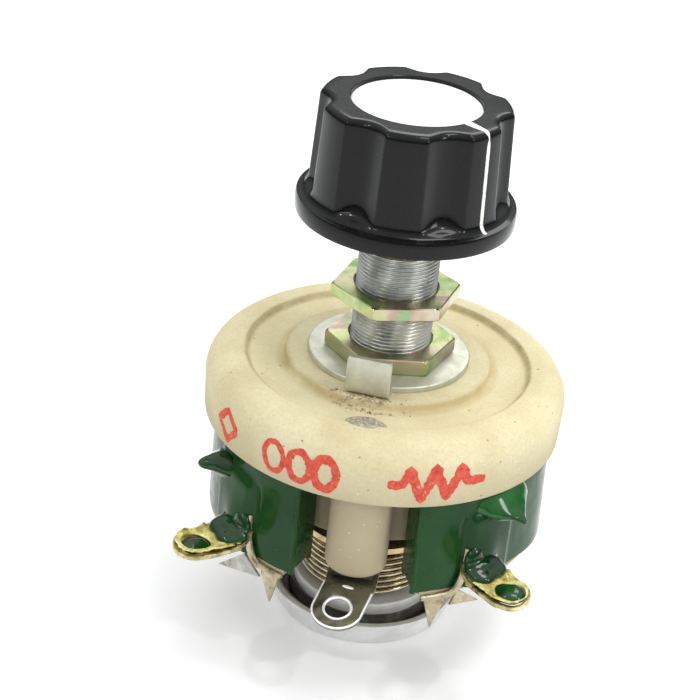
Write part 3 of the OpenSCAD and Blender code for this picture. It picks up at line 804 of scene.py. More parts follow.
def cement_crumbs():
    """Crumbs along the hub's edge, most of them below the washer's tab."""
    chance = random.Random(5)
    crumbs = []
    for _ in range(300):
        az = chance.gauss(-9, 11)
        r = HUB_R + chance.uniform(-1.2, 1.1)
        size = 0.04 + 0.11 * chance.random() ** 3
        radii = (size * 1.4, size * 1.2, size)
        top = HUB_TOP - (HUB_TOP - RECESS_FLOOR) * smooth(r, HUB_R - 0.1, HUB_R + 0.3)
        spot = polar(r, az, top + 0.3 * size)
        crumbs.append(blob(spot, radii, az, 0, 0.5, chance.random() * 9, segments=7, rings=5))
    piece("cement_crumbs", crumbs, CRUMBS, "base")


# ---------------------------------------------------------------- winding and enamel

def ring_side(az):
    """-1 or 1 for the left or right half of the ring, and the azimuth folded to the right."""
    az = (az + 180) % 360 - 180
    return (-1, -az) if az < 0 else (1, az)


def pad(az, z):
    """How far the enamel stands out where it runs over an end terminal's strap."""
    folded = ring_side(az)[1]
    near, far = END_AZ - 10.0, END_AZ + 9.5
    slant = 0.08 * (folded - near)
    across = smooth(folded, near - 1.0, near + 1.8) * (1 - smooth(folded, far - 2.5, far + 2.0))
    upward = 1 - smooth(z, DISC_BOTTOM - 4.2 + slant, DISC_BOTTOM - 2.6 + slant)
    knee = math.exp(-((folded - LUG_AZ - 1) / 6.0) ** 2 - ((z - LUG_Z - 2.2) / 2.4) ** 2)
    groove = math.exp(-((folded - near + 1.6) / 1.0) ** 2) * upward
    return 0.8 * across * upward + 0.75 * knee - 0.18 * groove


def swell(az, z):
    """How much thicker the coat is on the +X flank of the ring, most of all low down."""
    side, folded = ring_side(az)
    if side < 0:
        return 0.0
    flank = smooth(folded, 60, 82) * (1 - smooth(folded, 130, 165))
    depth = (DISC_BOTTOM - z) / (DISC_BOTTOM - RING_BOTTOM)
    return flank * smooth(depth, 0.02, 0.15) * (0.5 + 0.35 * depth)


def drape(r, az, z):
    """Sags, pads and ripples of the fired enamel on the outer wall."""
    p = polar(r, az, z)
    ripple = bumps(p, 4.0, 2) * 0.05 + bumps((p[0], p[1], p[2] * 0.3), 1.8, 2) * 0.018
    if r > RING_R - 1.2:
        return r + ripple + pad(az, z) + swell(az, z) - 0.06, z + bumps(p, 2.5, 2) * 0.07
    return r + ripple * 0.5, z + bumps(p, 2.5, 2) * 0.05


def enamel_shell():
    """The coat over the outer wall, the inner wall and the ends of the ring, open along its lower edge."""
    bottom = RING_BOTTOM + 0.75
    wall = 0.7
    outside, inside = RING_R - wall, RING_BORE_R + wall
    profile = divided(rounded([
        (RING_BORE_R, DISC_BOTTOM, 0), (RING_R, DISC_BOTTOM, 0), (RING_R, bottom, 0.35),
        (outside, bottom - 0.05, 0.1), (outside, bottom + 0.6, 0), (inside, bottom + 0.6, 0),
        (inside, bottom - 0.05, 0.1), (RING_BORE_R, bottom, 0.3)]), 0.5)
    shell = lathe(profile, 420, RING_GAP / 2, 360 - RING_GAP, shape=drape)
    lips = []
    for side in (-1, 1):
        path = []
        for i in range(12):
            z = DISC_BOTTOM - 0.2 - (DISC_BOTTOM - bottom - 0.2) * i / 11
            path.append(polar(RING_R - 0.33, side * (RING_GAP / 2 + 0.55), z))
        lips.append(tube(path, 0.34, 10))
    piece("enamel_shell", [shell, *lips], ENAMEL, "base", ["enamel_coat"])


def rough_edge(r, az, z):
    """The slightly uneven lower edge of the core."""
    return r + 0.05 * bumps(polar(r, az, z), 1.5, 2), z


def bare_track():
    """The core's lower edge and the single turns of wire that the brush runs on."""
    first = RING_GAP / 2 + 3.0
    sweep = 360 - 2 * first
    inner, outer, top, bottom = RING_BORE_R + 0.25, RING_R - 0.12, RING_BOTTOM + 1.1, RING_BOTTOM + 0.22
    profile = rounded([(inner, top, 0), (outer, top, 0), (outer, bottom, 0.25), (inner, bottom, 0.25)])
    edge = lathe(divided(profile, 0.6), 240, first, sweep, shape=rough_edge)
    piece("core_edge", [edge], CERAMIC, "base", ["winding_core"])
    hoop = [(RING_BORE_R + 0.75, RING_BOTTOM + 0.9), (RING_BORE_R + 0.8, RING_BOTTOM + 0.32),
            (RING_BORE_R + 1.2, RING_BOTTOM + 0.14), (RING_R - 1.2, RING_BOTTOM + 0.14),
            (RING_R - 0.8, RING_BOTTOM + 0.32), (RING_R - 0.75, RING_BOTTOM + 0.9)]
    count = 230
    turns = []
    for i in range(count):
        az = first + 0.8 + (sweep - 1.6) * i / (count - 1)
        turns.append(tube([polar(r, az, z) for r, z in hoop], 0.13, 6))
    piece("wire_turns", turns, WIRE, "base", ["resistance_winding"])


# ---------------------------------------------------------------- end terminals

def lug_plate(back, half_width, hole_at, hole_r, tip, thickness, bow, seed):
    """A flat lug from y = -back out to its round end at y = -tip, with a round hole at y = -hole_at."""
    shoulder = tip - half_width
    side_steps, tip_steps, back_steps = 9, 24, 6
    side = [back + (shoulder - back) * i / side_steps for i in range(side_steps)]
    outer = [(half_width, -y) for y in side]
    for i in range(tip_steps + 1):
        a = math.pi * i / tip_steps
        outer.append((half_width * math.cos(a), -(shoulder + half_width * math.sin(a) * 0.92)))
    outer += [(-half_width, -y) for y in reversed(side)]
    outer += [(half_width * (2 * i / back_steps - 1), -back) for i in range(1, back_steps)]
    hole = []
    for x, y in outer:
        a = math.atan2(y + hole_at, x)
        hole.append((hole_r * math.cos(a), -hole_at + hole_r * math.sin(a)))
    half = thickness / 2
    edge = half - 0.12
    section = [(0.0, edge), (0.06, half), (0.3, half), (0.6, half), (0.94, half), (1.0, edge)]
    section += [(s, -z) for s, z in reversed(section)]
    rows = []
    for s, z in section:
        row = []
        for (hole_x, hole_y), (rim_x, rim_y) in zip(hole, outer):
            x, y = hole_x + (rim_x - hole_x) * s, hole_y + (rim_y - hole_y) * s
            lift = bow * (x / half_width) ** 2 + 0.10 * bumps((x + seed, y, 0.0), 1.6, 2)
            row.append((x, y, lift + z))
        rows.append(row)
    return grid(rows, wrap_along=True)


def tilted(part, pivot, degrees):
    """A part in a lug's own frame, its outer end lifted about y=-pivot."""
    rise = math.tan(math.radians(degrees))
    return [(x, y, z + (-y - pivot) * rise) for x, y, z in part[0]], part[1]


def torn_leaf(reach, half_width, thickness, seed):
    """The upper strip layer: from the bend outwards, wrapped round the glazed hole, its edges ragged."""
    leaf, faces = lug_plate(23.6, half_width, LUG_HOLE_AT, 1.85, reach, thickness, 0.35, seed)
    verts = []
    for x, y, z in leaf:
        torn = smooth(math.hypot(x, y + LUG_HOLE_AT), 2.0, 2.9)
        ragged = 0.75 * bumps((x * 2 + seed, y * 2, 0.0), 1.1, 3) * torn
        verts.append((x * (1 + 0.3 * ragged), y + 0.8 * ragged, z + 0.6 * abs(ragged)))
    return verts, faces


def side_word(side):
    return "right" if side > 0 else "left"


def end_lug(side):
    """The lug's two layers of strip and their bend out of the wall. They rise outwards."""
    word, az = side_word(side), side * LUG_AZ
    seed, slope, reach, leaf_reach = (3.0, 3.0, 30.4, 30.0) if side > 0 else (8.0, 6.0, 30.9, 30.6)
    lower = tilted(lug_plate(23.2, 2.95, LUG_HOLE_AT, 1.75, reach, 0.6, 0.5, seed), 23.0, slope)
    bend_path = [(-21.3, LUG_Z + 1.7), (-21.6, LUG_Z + 0.9), (-22.3, LUG_Z + 0.25), (-23.2, LUG_Z - 0.1),
                 (-24.4, LUG_Z - 0.2)]
    bend = sheet_strip(bend_path, [5.2, 5.6, 5.9, 6.0, 6.0], 0.55, 0.5)
    layers = [placed(lower, az, (0, 0, LUG_Z - 0.5)), placed(bend, az)]
    piece("end_lug_" + word, layers, LUG_BRASS, "base", ["end_terminal_" + word], 30)
    leaf = tilted(torn_leaf(leaf_reach, 2.55, 0.32, seed + 5), 23.0, slope + 1.5)
    leaf = placed(leaf, az, (0, 0, LUG_Z + 0.2))
    piece("lug_leaf_" + word, [leaf], LEAF_BRASS, "base", (), 30)


def strap_tail(side):
    """The strap's tail down the wall and along the ring's foot, and the pointed prong below it."""
    word = side_word(side)
    drop = [(END_AZ - 10.0, LUG_Z + 3.6, RING_R + 0.35), (END_AZ - 10.4, LUG_Z + 1.2, RING_R + 0.5),
            (END_AZ - 11.4, LUG_Z - 1.0, RING_R + 0.45), (END_AZ - 13.8, LUG_Z - 2.5, RING_R + 0.25),
            (END_AZ - 18.0, RING_BOTTOM + 0.15, RING_R + 0.05), (END_AZ - 24.5, RING_BOTTOM + 0.05, RING_R)]
    path = [polar(r, side * az, z) for az, z, r in curve_through(drop, 6)]
    last = len(path) - 1
    radii = [0.26 + 0.22 * math.sin(math.pi * (0.1 + 0.75 * i / last)) for i in range(last + 1)]
    tip = polar(RING_R - 1.0, side * (PRONG_AZ - 0.4), low("end_terminal_" + word).z)
    prong = [tip, (tip[0] * 0.985, tip[1] * 0.985, tip[2] + 0.1)]
    prong_top = RING_BOTTOM + 0.1
    for r in (RING_R - 0.35, RING_R - 0.95):
        for along, down in ((-5.2, 0.0), (3.2, 0.15), (2.6, 1.4)):
            prong.append(polar(r, side * (PRONG_AZ + along), prong_top - down))
    parts = [tube(path, radii, 10), hull_of(prong)]
    piece("strap_tail_" + word, parts, TAIL_BRASS, "base", (), 30)


def strap_flap(side):
    """The folded corner of the strap below the ring, longer and tinned at the left."""
    if side < 0:
        corners, material = ((40.0, -24.6, 0.35), (49.8, -28.0, 1.5), (33.0, -26.8, 0.1)), FLAP_TIN
    else:
        corners, material = ((37.0, -24.6, 0.35), (44.7, -26.5, 1.0), (35.0, -26.8, 0.1)), TAIL_BRASS
    flap = [polar(RING_R + out - inward, side * az, z) for az, z, out in corners for inward in (0.0, 0.35)]
    piece("strap_flap_" + side_word(side), [hull_of(flap)], material, "base", (), 30)


def horn(side):
    """Glaze over the upper end of the strap: a level leaf at the left, a drooping horn at the right."""
    if side < 0:
        az, root_z, rise = -END_AZ - 6.5, DISC_BOTTOM - 3.7, 0.9
        root_w, root_h, end_w, end_h = 1.6, 1.1, 0.85, 0.75
    else:
        az, root_z, rise = END_AZ + 4.0, DISC_BOTTOM - 2.2, -1.4
        root_w, root_h, end_w, end_h = 3.6, 1.9, 0.50, 0.45
    steps, around, length = 24, 24, 4.4
    rows = []
    for i in range(steps + 1):
        t = math.sin(math.pi / 2 * i / steps)
        close = math.sqrt(max(1 - t ** 8, 0.0001))
        half_w = (root_w * (1 - smooth(t, 0.0, 1.0)) + end_w) * close
        half_h = (root_h * (1 - smooth(t, 0.0, 0.8)) + end_h) * close
        middle_x, middle_y, middle_z = polar(RING_R - 0.4 + length * t, az, root_z + rise * t)
        row = []
        for k in range(around):
            a = 2 * math.pi * k / around
            grow = 1 + 0.14 * bumps((math.cos(a), math.sin(a), t * 2 + side), 0.8, 2)
            x, y = turned(half_w * math.cos(a) * grow, 0.0, az)
            z = min(middle_z + half_h * math.sin(a) * grow, DISC_BOTTOM - 0.1)
            row.append((middle_x + x, middle_y + y, z))
        rows.append(row)
    return grid(rows, caps=True)


def lug_glaze(side):
    """Glaze on the upper end of the strap, in the lug's hole and over its bend."""
    word, az = side_word(side), side * LUG_AZ
    piece("glaze_horn_" + word, [horn(side)], HORN if side > 0 else GLAZE, "base", (), 80)
    rise, height = (0.55, 0.9) if side > 0 else (0.45, 0.4)
    plug_at = polar(LUG_HOLE_AT - 0.1, az, LUG_Z + rise)
    plug = blob(plug_at, (1.9, 1.95, height), az, -4, 0.10, side * 2.0)
    drops = [((0, 0, 0), (2.7, 1.5, 1.15)), ((-side * 0.9, -1.0, -0.35), (1.7, 1.7, 0.8)),
             ((side * 1.1, -0.8, -0.3), (1.6, 1.5, 0.85)), ((-side * 0.9, 0.8, 0.9), (1.3, 0.9, 1.7))]
    over_bend = melted(polar(22.6, az, LUG_Z + 1.25), drops, az, 0.03, side * 3.0)
    piece("glaze_" + word, [plug, over_bend], GLAZE, "base", ["lug_glaze_" + word], 80)


# ---------------------------------------------------------------- centre terminal

def blade_point(x, y, z):
    """A point in the blade's own frame, sloped down, turned to the left and put below the post."""
    slope, yaw, bend_at, below_post = 15, -13, 19.4, 0.8
    y, z = turned(y, z, slope)
    x, y = turned(x, y, yaw)
    return x, y - bend_at, z + POST_BOTTOM - below_post


def centre_terminal():
    """Tinned blade under the post: flat, then bent down and turned to the left, with an open hole."""
    half_width, hole_at, hole_r, tip, thick = 3.1, 4.55, 1.8, 7.85, 0.7
    verts, faces = lug_plate(0.0, half_width, hole_at, hole_r, tip, thick, 0.0, 20.0)
    blade = [blade_point(x, y, z - 0.4) for x, y, z in verts], faces
    level = POST_BOTTOM - 1.2
    foot_path = [(-13.0, level), (-15.0, level), (-17.5, level), (-19.2, level - 0.02), (-20.0, level - 0.2)]
    foot = sheet_strip(foot_path, [6.2, 6.2, 6.2, 6.2, 6.1], thick)
    piece("centre_lug", [blade, foot], TINNED, "base", ["centre_terminal"], 30)
    # Painted highlights in bright tin: a ring round the hole for its burr and the glint on it, a line along
    # the blade's edge for its bevel highlight, and a painted glint where the foot bends.
    lip_z, lip_r, rim_x = -0.12, hole_r - 0.12, half_width - 0.08
    hole_glint = []
    for k in range(49):
        a = 2 * math.pi * k / 48
        hole_glint.append(blade_point(lip_r * math.cos(a), -hole_at + lip_r * math.sin(a), lip_z))
    edge = [blade_point(rim_x, -1.0, lip_z)]
    for k in range(25):
        a = math.pi * k / 24
        edge.append(blade_point(rim_x * math.cos(a), half_width - tip - 2.85 * math.sin(a), lip_z))
    edge.append(blade_point(-rim_x, -1.0, lip_z))
    bend_glint = blob((-0.25, -20.35, level - 0.02), (0.85, 0.3, 0.22), -13, 0, 0.05, 2.0)
    piece("centre_lug_painted_highlights", [tube(hole_glint, 0.17, 8), tube(edge, 0.13, 8), bend_glint], HIGHLIGHT_TIN, "base")


# ---------------------------------------------------------------- bushing, washer and nuts

def hexagon_radius(az, corner_az, flats):
    """Distance from the axis to the side of a hexagon at an azimuth."""
    off_corner = math.radians(abs((az - corner_az + 30) % 60 - 30))
    return flats / 2 / math.cos(math.radians(30) - off_corner)


def hex_nut(bottom, top, bore, corner_az):
    """A nut with a thin bevel along every edge, slightly chamfered corners and a countersunk bore."""
    azimuths = [corner_az + k for k in range(360)]
    chamfer_r = NUT_FLATS / 2 + 0.72
    slope = math.tan(math.radians(30))
    bevel = 0.13
    height = top - bottom
    rows = [level_ring(bore, bottom + 0.35, azimuths), level_ring(bore + 0.4, bottom, azimuths)]
    for level in (0.0, bevel, 0.25, 0.4, height / 2, height - 0.4, height - 0.25, height - bevel, height):
        from_end = min(level, height - level)
        inset = max(bevel - from_end, 0.0)
        limit = chamfer_r + from_end / slope
        rows.append([polar(min(hexagon_radius(az, corner_az, NUT_FLATS) - inset, limit), az, bottom + level)
                     for az in azimuths])
    rows += [level_ring(bore + 0.45, top, azimuths), level_ring(bore, top - 0.4, azimuths)]
    return grid(rows, wrap_along=True)


def nuts():
    for node, body, corner in (("clamp_nut", "base", 40), ("panel_nut", "panel_nut_body", -13)):
        part = hex_nut(low(node).z, high(node).z, THREAD_R - 0.15, corner)
        piece(node + "_looks", [part], CHROMATE, body, [node], 25)


def thread(bottom, bore_r):
    """A fine thread from bottom to the chamfered end, with the plain shaft bore."""
    pitch, depth, fine = 0.5, 0.32, 10
    azimuths = [360 * k / 96 for k in range(96)]
    steps = int((BUSHING_TOP - bottom) / pitch * fine)
    rows = []
    for i in range(steps + 1):
        z = bottom + (BUSHING_TOP - bottom) * i / steps
        fade = 1 - smooth(z, BUSHING_TOP - 0.7, BUSHING_TOP - 0.05)
        row = []
        for az in azimuths:
            phase = ((z - bottom) / pitch - az / 360) % 1.0
            crest = 1 - abs(2 * phase - 1)
            r = THREAD_R - depth + depth * min(1.0, 1.25 * crest) * fade - 0.25 * (1 - fade)
            row.append(polar(r + 0.015 * bumps((az * 0.3, z, 2.0), 1.0, 1), az, z))
        rows.append(row)
    end = [(4.1, BUSHING_TOP), (bore_r + 0.1, BUSHING_TOP), (bore_r, BUSHING_TOP - 0.15), (bore_r, bottom)]
    rows += [level_ring(r, z, azimuths) for r, z in end]
    return grid(rows, wrap_along=True)


def threaded_bushing():
    """The thread above the disc, and the neck and flange inside the collar."""
    bore_r = 3.05
    bottom = WASHER_TOP - 1.0
    foot, step, neck_top = low("threaded_bushing").z, FLANGE_TOP - 2, bottom + 0.2
    flange_r, neck_r = THREAD_R + 3, THREAD_R - 0.4
    flange = lathe(rounded([
        (bore_r, foot, 0.1), (THREAD_R, foot, 0.3), (THREAD_R, step, 0.15), (flange_r, step, 0.25),
        (flange_r, FLANGE_TOP, 0.1), (neck_r, FLANGE_TOP, 0), (neck_r, neck_top, 0),
        (bore_r, neck_top, 0)]), 96)
    parts = [thread(bottom, bore_r), flange]
    piece("bushing_thread", parts, NICKEL, "base", ["threaded_bushing"], 50)


def locating_washer():
    """A plain washer with one tab bent up near the front."""
    bottom, outer_r = low("locating_washer").z, 10.1
    disc = lathe(rounded([(THREAD_R, bottom, 0), (outer_r, bottom, 0.15), (outer_r, WASHER_TOP, 0.22),
                          (THREAD_R, WASHER_TOP, 0)]), 128)
    thick = 0.78
    mid, face = bottom + thick / 2, thick / 2 - TAB_FRONT
    path = [(-9.0, mid), (-10.3, mid), (face + 0.6, mid + 0.03), (face + 0.28, mid + 0.2),
            (face + 0.06, mid + 0.5), (face, mid + 0.95), (face, 0.2), (face + 0.03, TAB_TOP - 0.5),
            (face + 0.08, TAB_TOP - 0.02)]
    rows = []
    for i, ((y, z), (ny, nz)) in enumerate(zip(path, normals(path))):
        half = TAB_WIDTH / 2 - (0.12 if i == len(path) - 1 else 0.0)
        section = rounded([(-half, -thick / 2, 0.1), (half, -thick / 2, 0.1),
                           (half, thick / 2, 0.1), (-half, thick / 2, 0.1)], 3)
        rows.append([(x, y - ny * t, z - nz * t) for x, t in section])
    tab = placed(grid(rows, caps=True), TAB_AZ)
    piece("washer_tab", [disc, tab], WASHER, "base", ["locating_washer"], 35)


# ---------------------------------------------------------------- rotor

def coil_spring():
    """A helix with nearly closed ends."""
    turns, per_turn, wire_r, coil_r, closed = 8, 40, 0.36, 8.2, 0.06
    height = SPRING_TOP - SPRING_BOTTOM - 2 * wire_r
    path = []
    for i in range(turns * per_turn + 1):
        t = i / (turns * per_turn)
        rise = min(max((t - closed) / (1 - 2 * closed), 0.0), 1.0)
        lift = height * (0.10 * smooth(t, 0, closed) + 0.80 * rise + 0.10 * smooth(t, 1 - closed, 1))
        path.append(polar(coil_r, 360 * i / per_turn + 90, SPRING_BOTTOM + wire_r + lift))
    piece("coil_spring", [tube(path, wire_r, 12)], SPRING, "rotor", ["contact_spring"])


def cup_and_seat():
    """The pressed cup with a rolled rim and a straight foot, and the thick plate under the spring."""
    wall, bore_r, film = 0.8, 3.0, 0.04
    floor_z, plate_under = CUP_BOTTOM + wall, SEAT_BOTTOM - wall
    inside = [(SEAT_R - 0.1, SEAT_BOTTOM, 0.3), (SEAT_R + 0.4, floor_z, 0.3), (CUP_R - 1.9, floor_z, 0.4),
              (CUP_R - 1.75, CUP_TOP - 0.8, 0.3), (CUP_R - 0.75, CUP_TOP, 0.1)]
    outside = [(CUP_R, CUP_TOP, 0.2), (CUP_R - 0.05, CUP_TOP - 0.5, 0.2), (CUP_R - 1.15, CUP_TOP - 0.95, 0.4),
               (CUP_R - 1.3, CUP_BOTTOM, 0.3), (CUP_R - 2.1, CUP_BOTTOM, 0.3),
               (SEAT_R - 0.4, CUP_BOTTOM + 0.4, 0.4), (SEAT_R - 0.9, plate_under, 0.3),
               (bore_r, plate_under, 0)]
    dish = rounded([(bore_r, SEAT_BOTTOM, 0), *inside, *outside])
    piece("rotor_dish", [lathe(dish, 160)], CUP, "rotor", ["rotor_cup"])
    # The dark film lining the dish is painted shade on the inside of the cup.
    brim = (CUP_R - 0.75 - film, CUP_TOP - 0.1, 0)
    lining = rounded([*[(r - film, z + film, bend) for r, z, bend in inside[:-1]], brim])
    backing = [(r + 2 * film, z - 2 * film) for r, z in reversed(lining)]
    piece("dish_painted_shade", [lathe(lining + backing, 160)], CUP_SHADE, "rotor")
    seat = rounded([(bore_r, SEAT_BOTTOM, 0), (SEAT_R, SEAT_BOTTOM, 0.15), (SEAT_R, SPRING_BOTTOM, 0.2),
                    (bore_r, SPRING_BOTTOM, 0)])
    piece("seat_plate", [lathe(seat, 128)], ALUMINIUM, "rotor", ["spring_seat"])


# ---------------------------------------------------------------- knob

def flute_radius(az, radius, share):
    """Body radius at an azimuth, at a share of the full flute depth, with softly rounded ridges."""
    step = 360 / KNOB_LOBES
    off = (az - POINTER_AZ) % step - step / 2
    depth, width = 1.25, 5.2
    cut = (width * width / 4 + depth * depth) / (2 * depth)
    centre = radius - depth + cut
    across = centre * math.sin(math.radians(off))
    if abs(across) >= cut:
        return radius
    hollow = centre * math.cos(math.radians(off)) - math.sqrt(cut * cut - across * across)
    soft = 1.0
    blend = min(max(0.5 + 0.5 * (radius - hollow) / soft, 0.0), 1.0)
    least = radius + (hollow - radius) * blend - soft * blend * (1 - blend)
    return radius + (least - radius) * share


def body_radius(az, z):
    """Radius of the fluted body at a height; flutes run out in a curve above the skirt."""
    t = (z - KNOB_STEP - KNOB_FILLET) / (KNOB_TOP - KNOB_STEP - KNOB_FILLET)
    radius = BODY_LOW_R + (BODY_HIGH_R - BODY_LOW_R) * min(max(t, 0), 1)
    rise = min(max((z - KNOB_STEP - 0.5) / 2.2, 0.0), 1.0)
    share = math.sqrt(max(1 - (1 - rise) ** 2, 0.0))
    return flute_radius(az, radius, share)


def body_ring(azimuths, z, out=0.0, lift=0.0):
    """The body's outline at z, moved outwards by out and then raised by lift."""
    return [polar(body_radius(az, z) + out, az, z + lift) for az in azimuths]


def knob_shell():
    """The skirt, the fluted body with its rounded edge, and the recess for the cap."""
    azimuths = [POINTER_AZ + 0.75 * k for k in range(480)]
    foot, recess_z = KNOB_BOTTOM + 0.6, CAP_TOP - 0.6
    body_foot, edge_z = KNOB_STEP + KNOB_FILLET, KNOB_TOP - KNOB_EDGE
    skirt = [(5.0, foot), (SKIRT_R - 2.2, foot), (SKIRT_R - 2.0, KNOB_BOTTOM + 0.1),
             (SKIRT_R - 1.9, KNOB_BOTTOM), (SKIRT_R - 0.35, KNOB_BOTTOM), (SKIRT_R - 0.1, KNOB_BOTTOM + 0.1),
             (SKIRT_R, KNOB_BOTTOM + 0.4), (SKIRT_R, KNOB_STEP - 0.45), (SKIRT_R - 0.12, KNOB_STEP - 0.12),
             (SKIRT_R - 0.45, KNOB_STEP)]
    rows = [level_ring(r, z, azimuths) for r, z in skirt]
    for i in range(1, 9):
        a = math.radians(90 * i / 8)
        z = KNOB_STEP + KNOB_FILLET * (1 - math.cos(a))
        rows.append(body_ring(azimuths, z, 0.95 * (1 - math.sin(a))))
    for i in range(1, 17):
        rows.append(body_ring(azimuths, body_foot + (edge_z - body_foot) * i / 16))
    for i in range(1, 6):
        a = math.radians(90 * i / 5)
        rows.append(body_ring(azimuths, edge_z, -KNOB_EDGE * (1 - math.cos(a)), KNOB_EDGE * math.sin(a)))
    recess_r = CAP_R + 0.5
    outline = [body_radius(az, edge_z) - KNOB_EDGE for az in azimuths]
    for share in (0.3, 0.65):
        radii = [(1 - share) * r + share * recess_r for r in outline]
        rows.append([polar(r, az, KNOB_TOP) for r, az in zip(radii, azimuths)])
    for r, z in ((recess_r, KNOB_TOP), (CAP_R + 0.14, KNOB_TOP), (CAP_R + 0.05, KNOB_TOP - 0.08),
                 (CAP_R + 0.02, recess_z), (5.0, recess_z)):
        rows.append(level_ring(r, z, azimuths))
    piece("knob_shell", [grid(rows, wrap_along=True)], PHENOLIC, "rotor", ["knob_body"], 30)


def pointer_path():
    """Points (r, z) from the cap over the body's edge and down its lobe to the skirt."""
    body_foot, edge_z, edge_r = KNOB_STEP + KNOB_FILLET, KNOB_TOP - KNOB_EDGE, BODY_HIGH_R - KNOB_EDGE
    path = [(CAP_R + 0.05, KNOB_TOP - 0.02), (CAP_R + 0.6, KNOB_TOP), (9.6, KNOB_TOP), (edge_r, KNOB_TOP)]
    path += arc((edge_r, edge_z), KNOB_EDGE, 90, 0, 5)[1:]
    for i in range(1, 15):
        z = edge_z - (edge_z - body_foot) * i / 14
        path.append((body_radius(POINTER_AZ, z), z))
    for i in range(1, 7):
        a = math.radians(90 - 90 * i / 6)
        path.append((BODY_LOW_R + 0.95 * (1 - math.sin(a)), KNOB_STEP + KNOB_FILLET * (1 - math.cos(a))))
    return path


def pointer_width(r, z):
    """Half the painted line's width: widest at the cap, uneven down the lobe, thin at the body's edge."""
    if z > KNOB_TOP - 0.3:
        return 0.36 + 0.3 * smooth(BODY_HIGH_R - r, 0.4, 3.0)
    worn = 0.17 * math.exp(-((z - KNOB_TOP + KNOB_EDGE) / 0.5) ** 2)
    return 0.31 + 0.06 * bumps((z, 0, 0), 1.0, 2) - worn


def pointer_line():
    """The white line from the cap over the edge and down its lobe to the skirt."""
    path = pointer_path()
    rows = []
    for (r, z), (nr, nz) in zip(path, normals(path)):
        half = pointer_width(r, z)
        row = []
        for share, out in ((-1, -0.05), (-0.8, 0.035), (0, 0.05), (0.8, 0.035), (1, -0.05)):
            film_r = r + nr * out
            row.append(polar(film_r, POINTER_AZ + math.degrees(share * half / film_r), z + nz * out))
        rows.append(row)
    piece("pointer_line", [grid(rows, caps=True)], POINTER, "rotor", ["knob_pointer"])


def cap_disc():
    """The slightly domed disc in the knob's recess."""
    under = CAP_TOP - 0.55
    profile = [(0.01, CAP_TOP), (2.5, CAP_TOP), (5.0, CAP_TOP - 0.01), (7.4, CAP_TOP - 0.03),
               (CAP_R - 0.15, CAP_TOP - 0.08), (CAP_R, CAP_TOP - 0.2), (CAP_R, under), (0.01, under)]
    piece("cap_plate", [lathe(profile, 128)], CAP, "rotor", ["knob_cap"])


# ---------------------------------------------------------------- nodes that keep their CAD shape

def paint_cad_nodes():
    """Materials for the nodes that no piece above stands for."""
    looks = {
        # collector_ring: painted shade, the gap under the collar.
        "ring_cement": CERAMIC, "centre_rivet": TINNED, "collector_ring": SLIP_RING, "mica_washer": MICA,
        # rotor_hub: painted shade between the coils.
        "shaft": SHAFT, "shaft_clip": BLACKENED, "cup_clip": BLACKENED, "rotor_hub": HUB_SHADE,
        "contact_arm": SPRING_BRASS, "brush_holder": SPRING_BRASS, "contact_brush": GRAPHITE,
        "collector_brush": GRAPHITE, "arm_rivet": SPRING_BRASS, "knob_insert": SPRING_BRASS,
        "knob_set_screw": BLACKENED,
    }
    for node, material in looks.items():
        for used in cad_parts[node].material_slots:
            used.material = material


# ---------------------------------------------------------------- floor, light and camera

def floor():
    """A white floor just under the cup."""
    half, z = 3, (CUP_BOTTOM - 0.05) * MM
    mesh = bpy.data.meshes.new("floor")
    corners = [(-half, -half, z), (half, -half, z), (half, half, z), (-half, half, z)]
    mesh.from_pydata(corners, [], [[0, 1, 2, 3]])
    glow = {"Emission_Color": (1, 1, 1, 1), "Emission_Strength": 0.10}
    paint = Paint("floor_white", (0.96, 0.96, 0.965), 0.8, **glow)
    cloud = paint.noise(60.0, 2.0)
    paint.color(paint.ramp(cloud, [(0.3, (0.955, 0.955, 0.96)), (0.7, (0.965, 0.965, 0.97))]))
    mesh.materials.append(paint.material)
    plane = bpy.data.objects.new("floor", mesh)
    bpy.context.scene.collection.objects.link(plane)


def softbox(name, place, aim, size, power):
    light = bpy.data.lights.new(name, "AREA")
    light.shape = "RECTANGLE"
    light.size, light.size_y = size
    light.energy = power
    obj = bpy.data.objects.new(name, light)
    obj.location = place
    obj.rotation_euler = (Vector(aim) - Vector(place)).to_track_quat("-Z", "Y").to_euler()
    bpy.context.scene.collection.objects.link(obj)


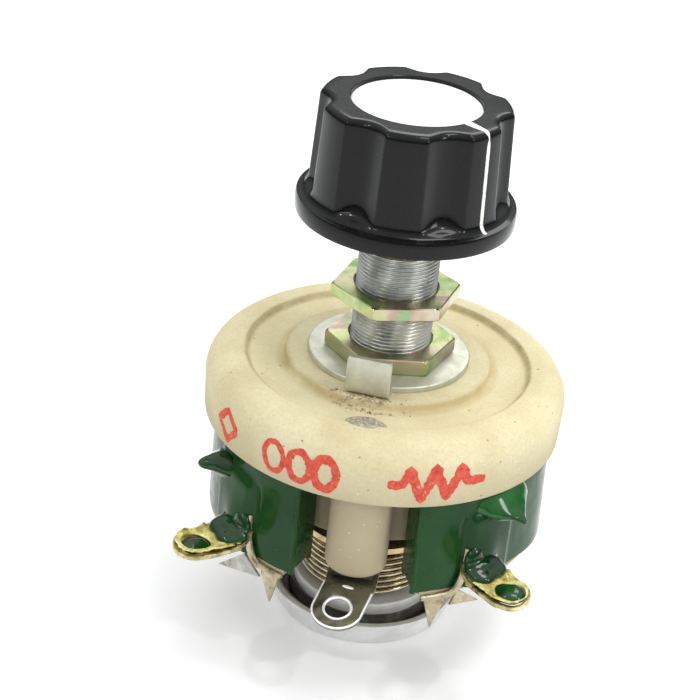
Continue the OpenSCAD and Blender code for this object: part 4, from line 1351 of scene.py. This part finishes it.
def lights():
    """A dim room under a bright ceiling, with softboxes overhead, at the sides and behind."""
    world = bpy.data.worlds.new("studio")
    world.use_nodes = True
    tree = world.node_tree
    background = tree.nodes["Background"]
    split = tree.nodes.new("ShaderNodeSeparateXYZ")
    height = tree.nodes.new("ShaderNodeMapRange")
    for key, value in (("From Min", 0.05), ("From Max", 0.75), ("To Min", 0.03), ("To Max", 1.06)):
        height.inputs[key].default_value = value
    tree.links.new(tree.nodes.new("ShaderNodeTexCoord").outputs["Generated"], split.inputs["Vector"])
    tree.links.new(split.outputs["Z"], height.inputs["Value"])
    tree.links.new(height.outputs["Result"], background.inputs["Strength"])
    background.inputs["Color"].default_value = (0.97, 0.99, 1.0, 1)
    bpy.context.scene.world = world
    aim = (0, 0, -0.01)
    softbox("overhead", (0.12, 0.02, 0.50), aim, (0.18, 0.18), 0.75)
    softbox("side", (0.40, -0.18, 0.22), aim, (0.10, 0.16), 0.5)
    softbox("left_spark", (-0.28, -0.17, 0.45), aim, (0.02, 0.02), 0.27)
    softbox("right_spark", (0.28, -0.17, 0.45), aim, (0.02, 0.02), 0.27)
    softbox("front_left", (-0.26, -0.40, 0.36), aim, (0.12, 0.05), 0.22)
    softbox("back", (0.05, 0.40, 0.35), aim, (0.30, 0.20), 0.6)


def camera():
    """The view of the reference: 28 degrees down, slightly rolled, through a long lens."""
    azimuth, elevation, roll = math.radians(5.0), math.radians(28.35), math.radians(-6.04)
    distance = 0.2525
    view_width, off_right, off_up = 0.35, 0.0158, 0.0305  # each one a share of the distance
    right = Vector((math.cos(azimuth), math.sin(azimuth), 0))
    level = Vector((-math.sin(azimuth), math.cos(azimuth), 0))
    ahead = level * math.cos(elevation) - Vector((0, 0, 1)) * math.sin(elevation)
    up = level * math.sin(elevation) + Vector((0, 0, 1)) * math.cos(elevation)
    right, up = (right * math.cos(roll) - up * math.sin(roll), right * math.sin(roll) + up * math.cos(roll))
    target = Vector((0, 0, DISC_BOTTOM * MM))
    data = bpy.data.cameras.new("camera")
    data.sensor_width = 36
    data.lens = data.sensor_width / view_width
    data.clip_start = 0.01
    data.clip_end = 20
    obj = bpy.data.objects.new("camera", data)
    matrix = [[right.x, up.x, -ahead.x], [right.y, up.y, -ahead.y], [right.z, up.z, -ahead.z]]
    obj.rotation_euler = Matrix(matrix).to_euler()
    obj.location = target + (up * off_up - right * off_right - ahead) * distance
    bpy.context.scene.collection.objects.link(obj)
    bpy.context.scene.camera = obj


camera()
lights()
floor()
ceramic_base()
rim_marks()
pocket_cement()
cement_crumbs()
enamel_shell()
bare_track()
for terminal_side in (-1, 1):
    end_lug(terminal_side)
    strap_tail(terminal_side)
    strap_flap(terminal_side)
    lug_glaze(terminal_side)
centre_terminal()
nuts()
threaded_bushing()
locating_washer()
coil_spring()
cup_and_seat()
knob_shell()
pointer_line()
cap_disc()
paint_cad_nodes()
bpy.context.scene.view_settings.view_transform = "Standard"
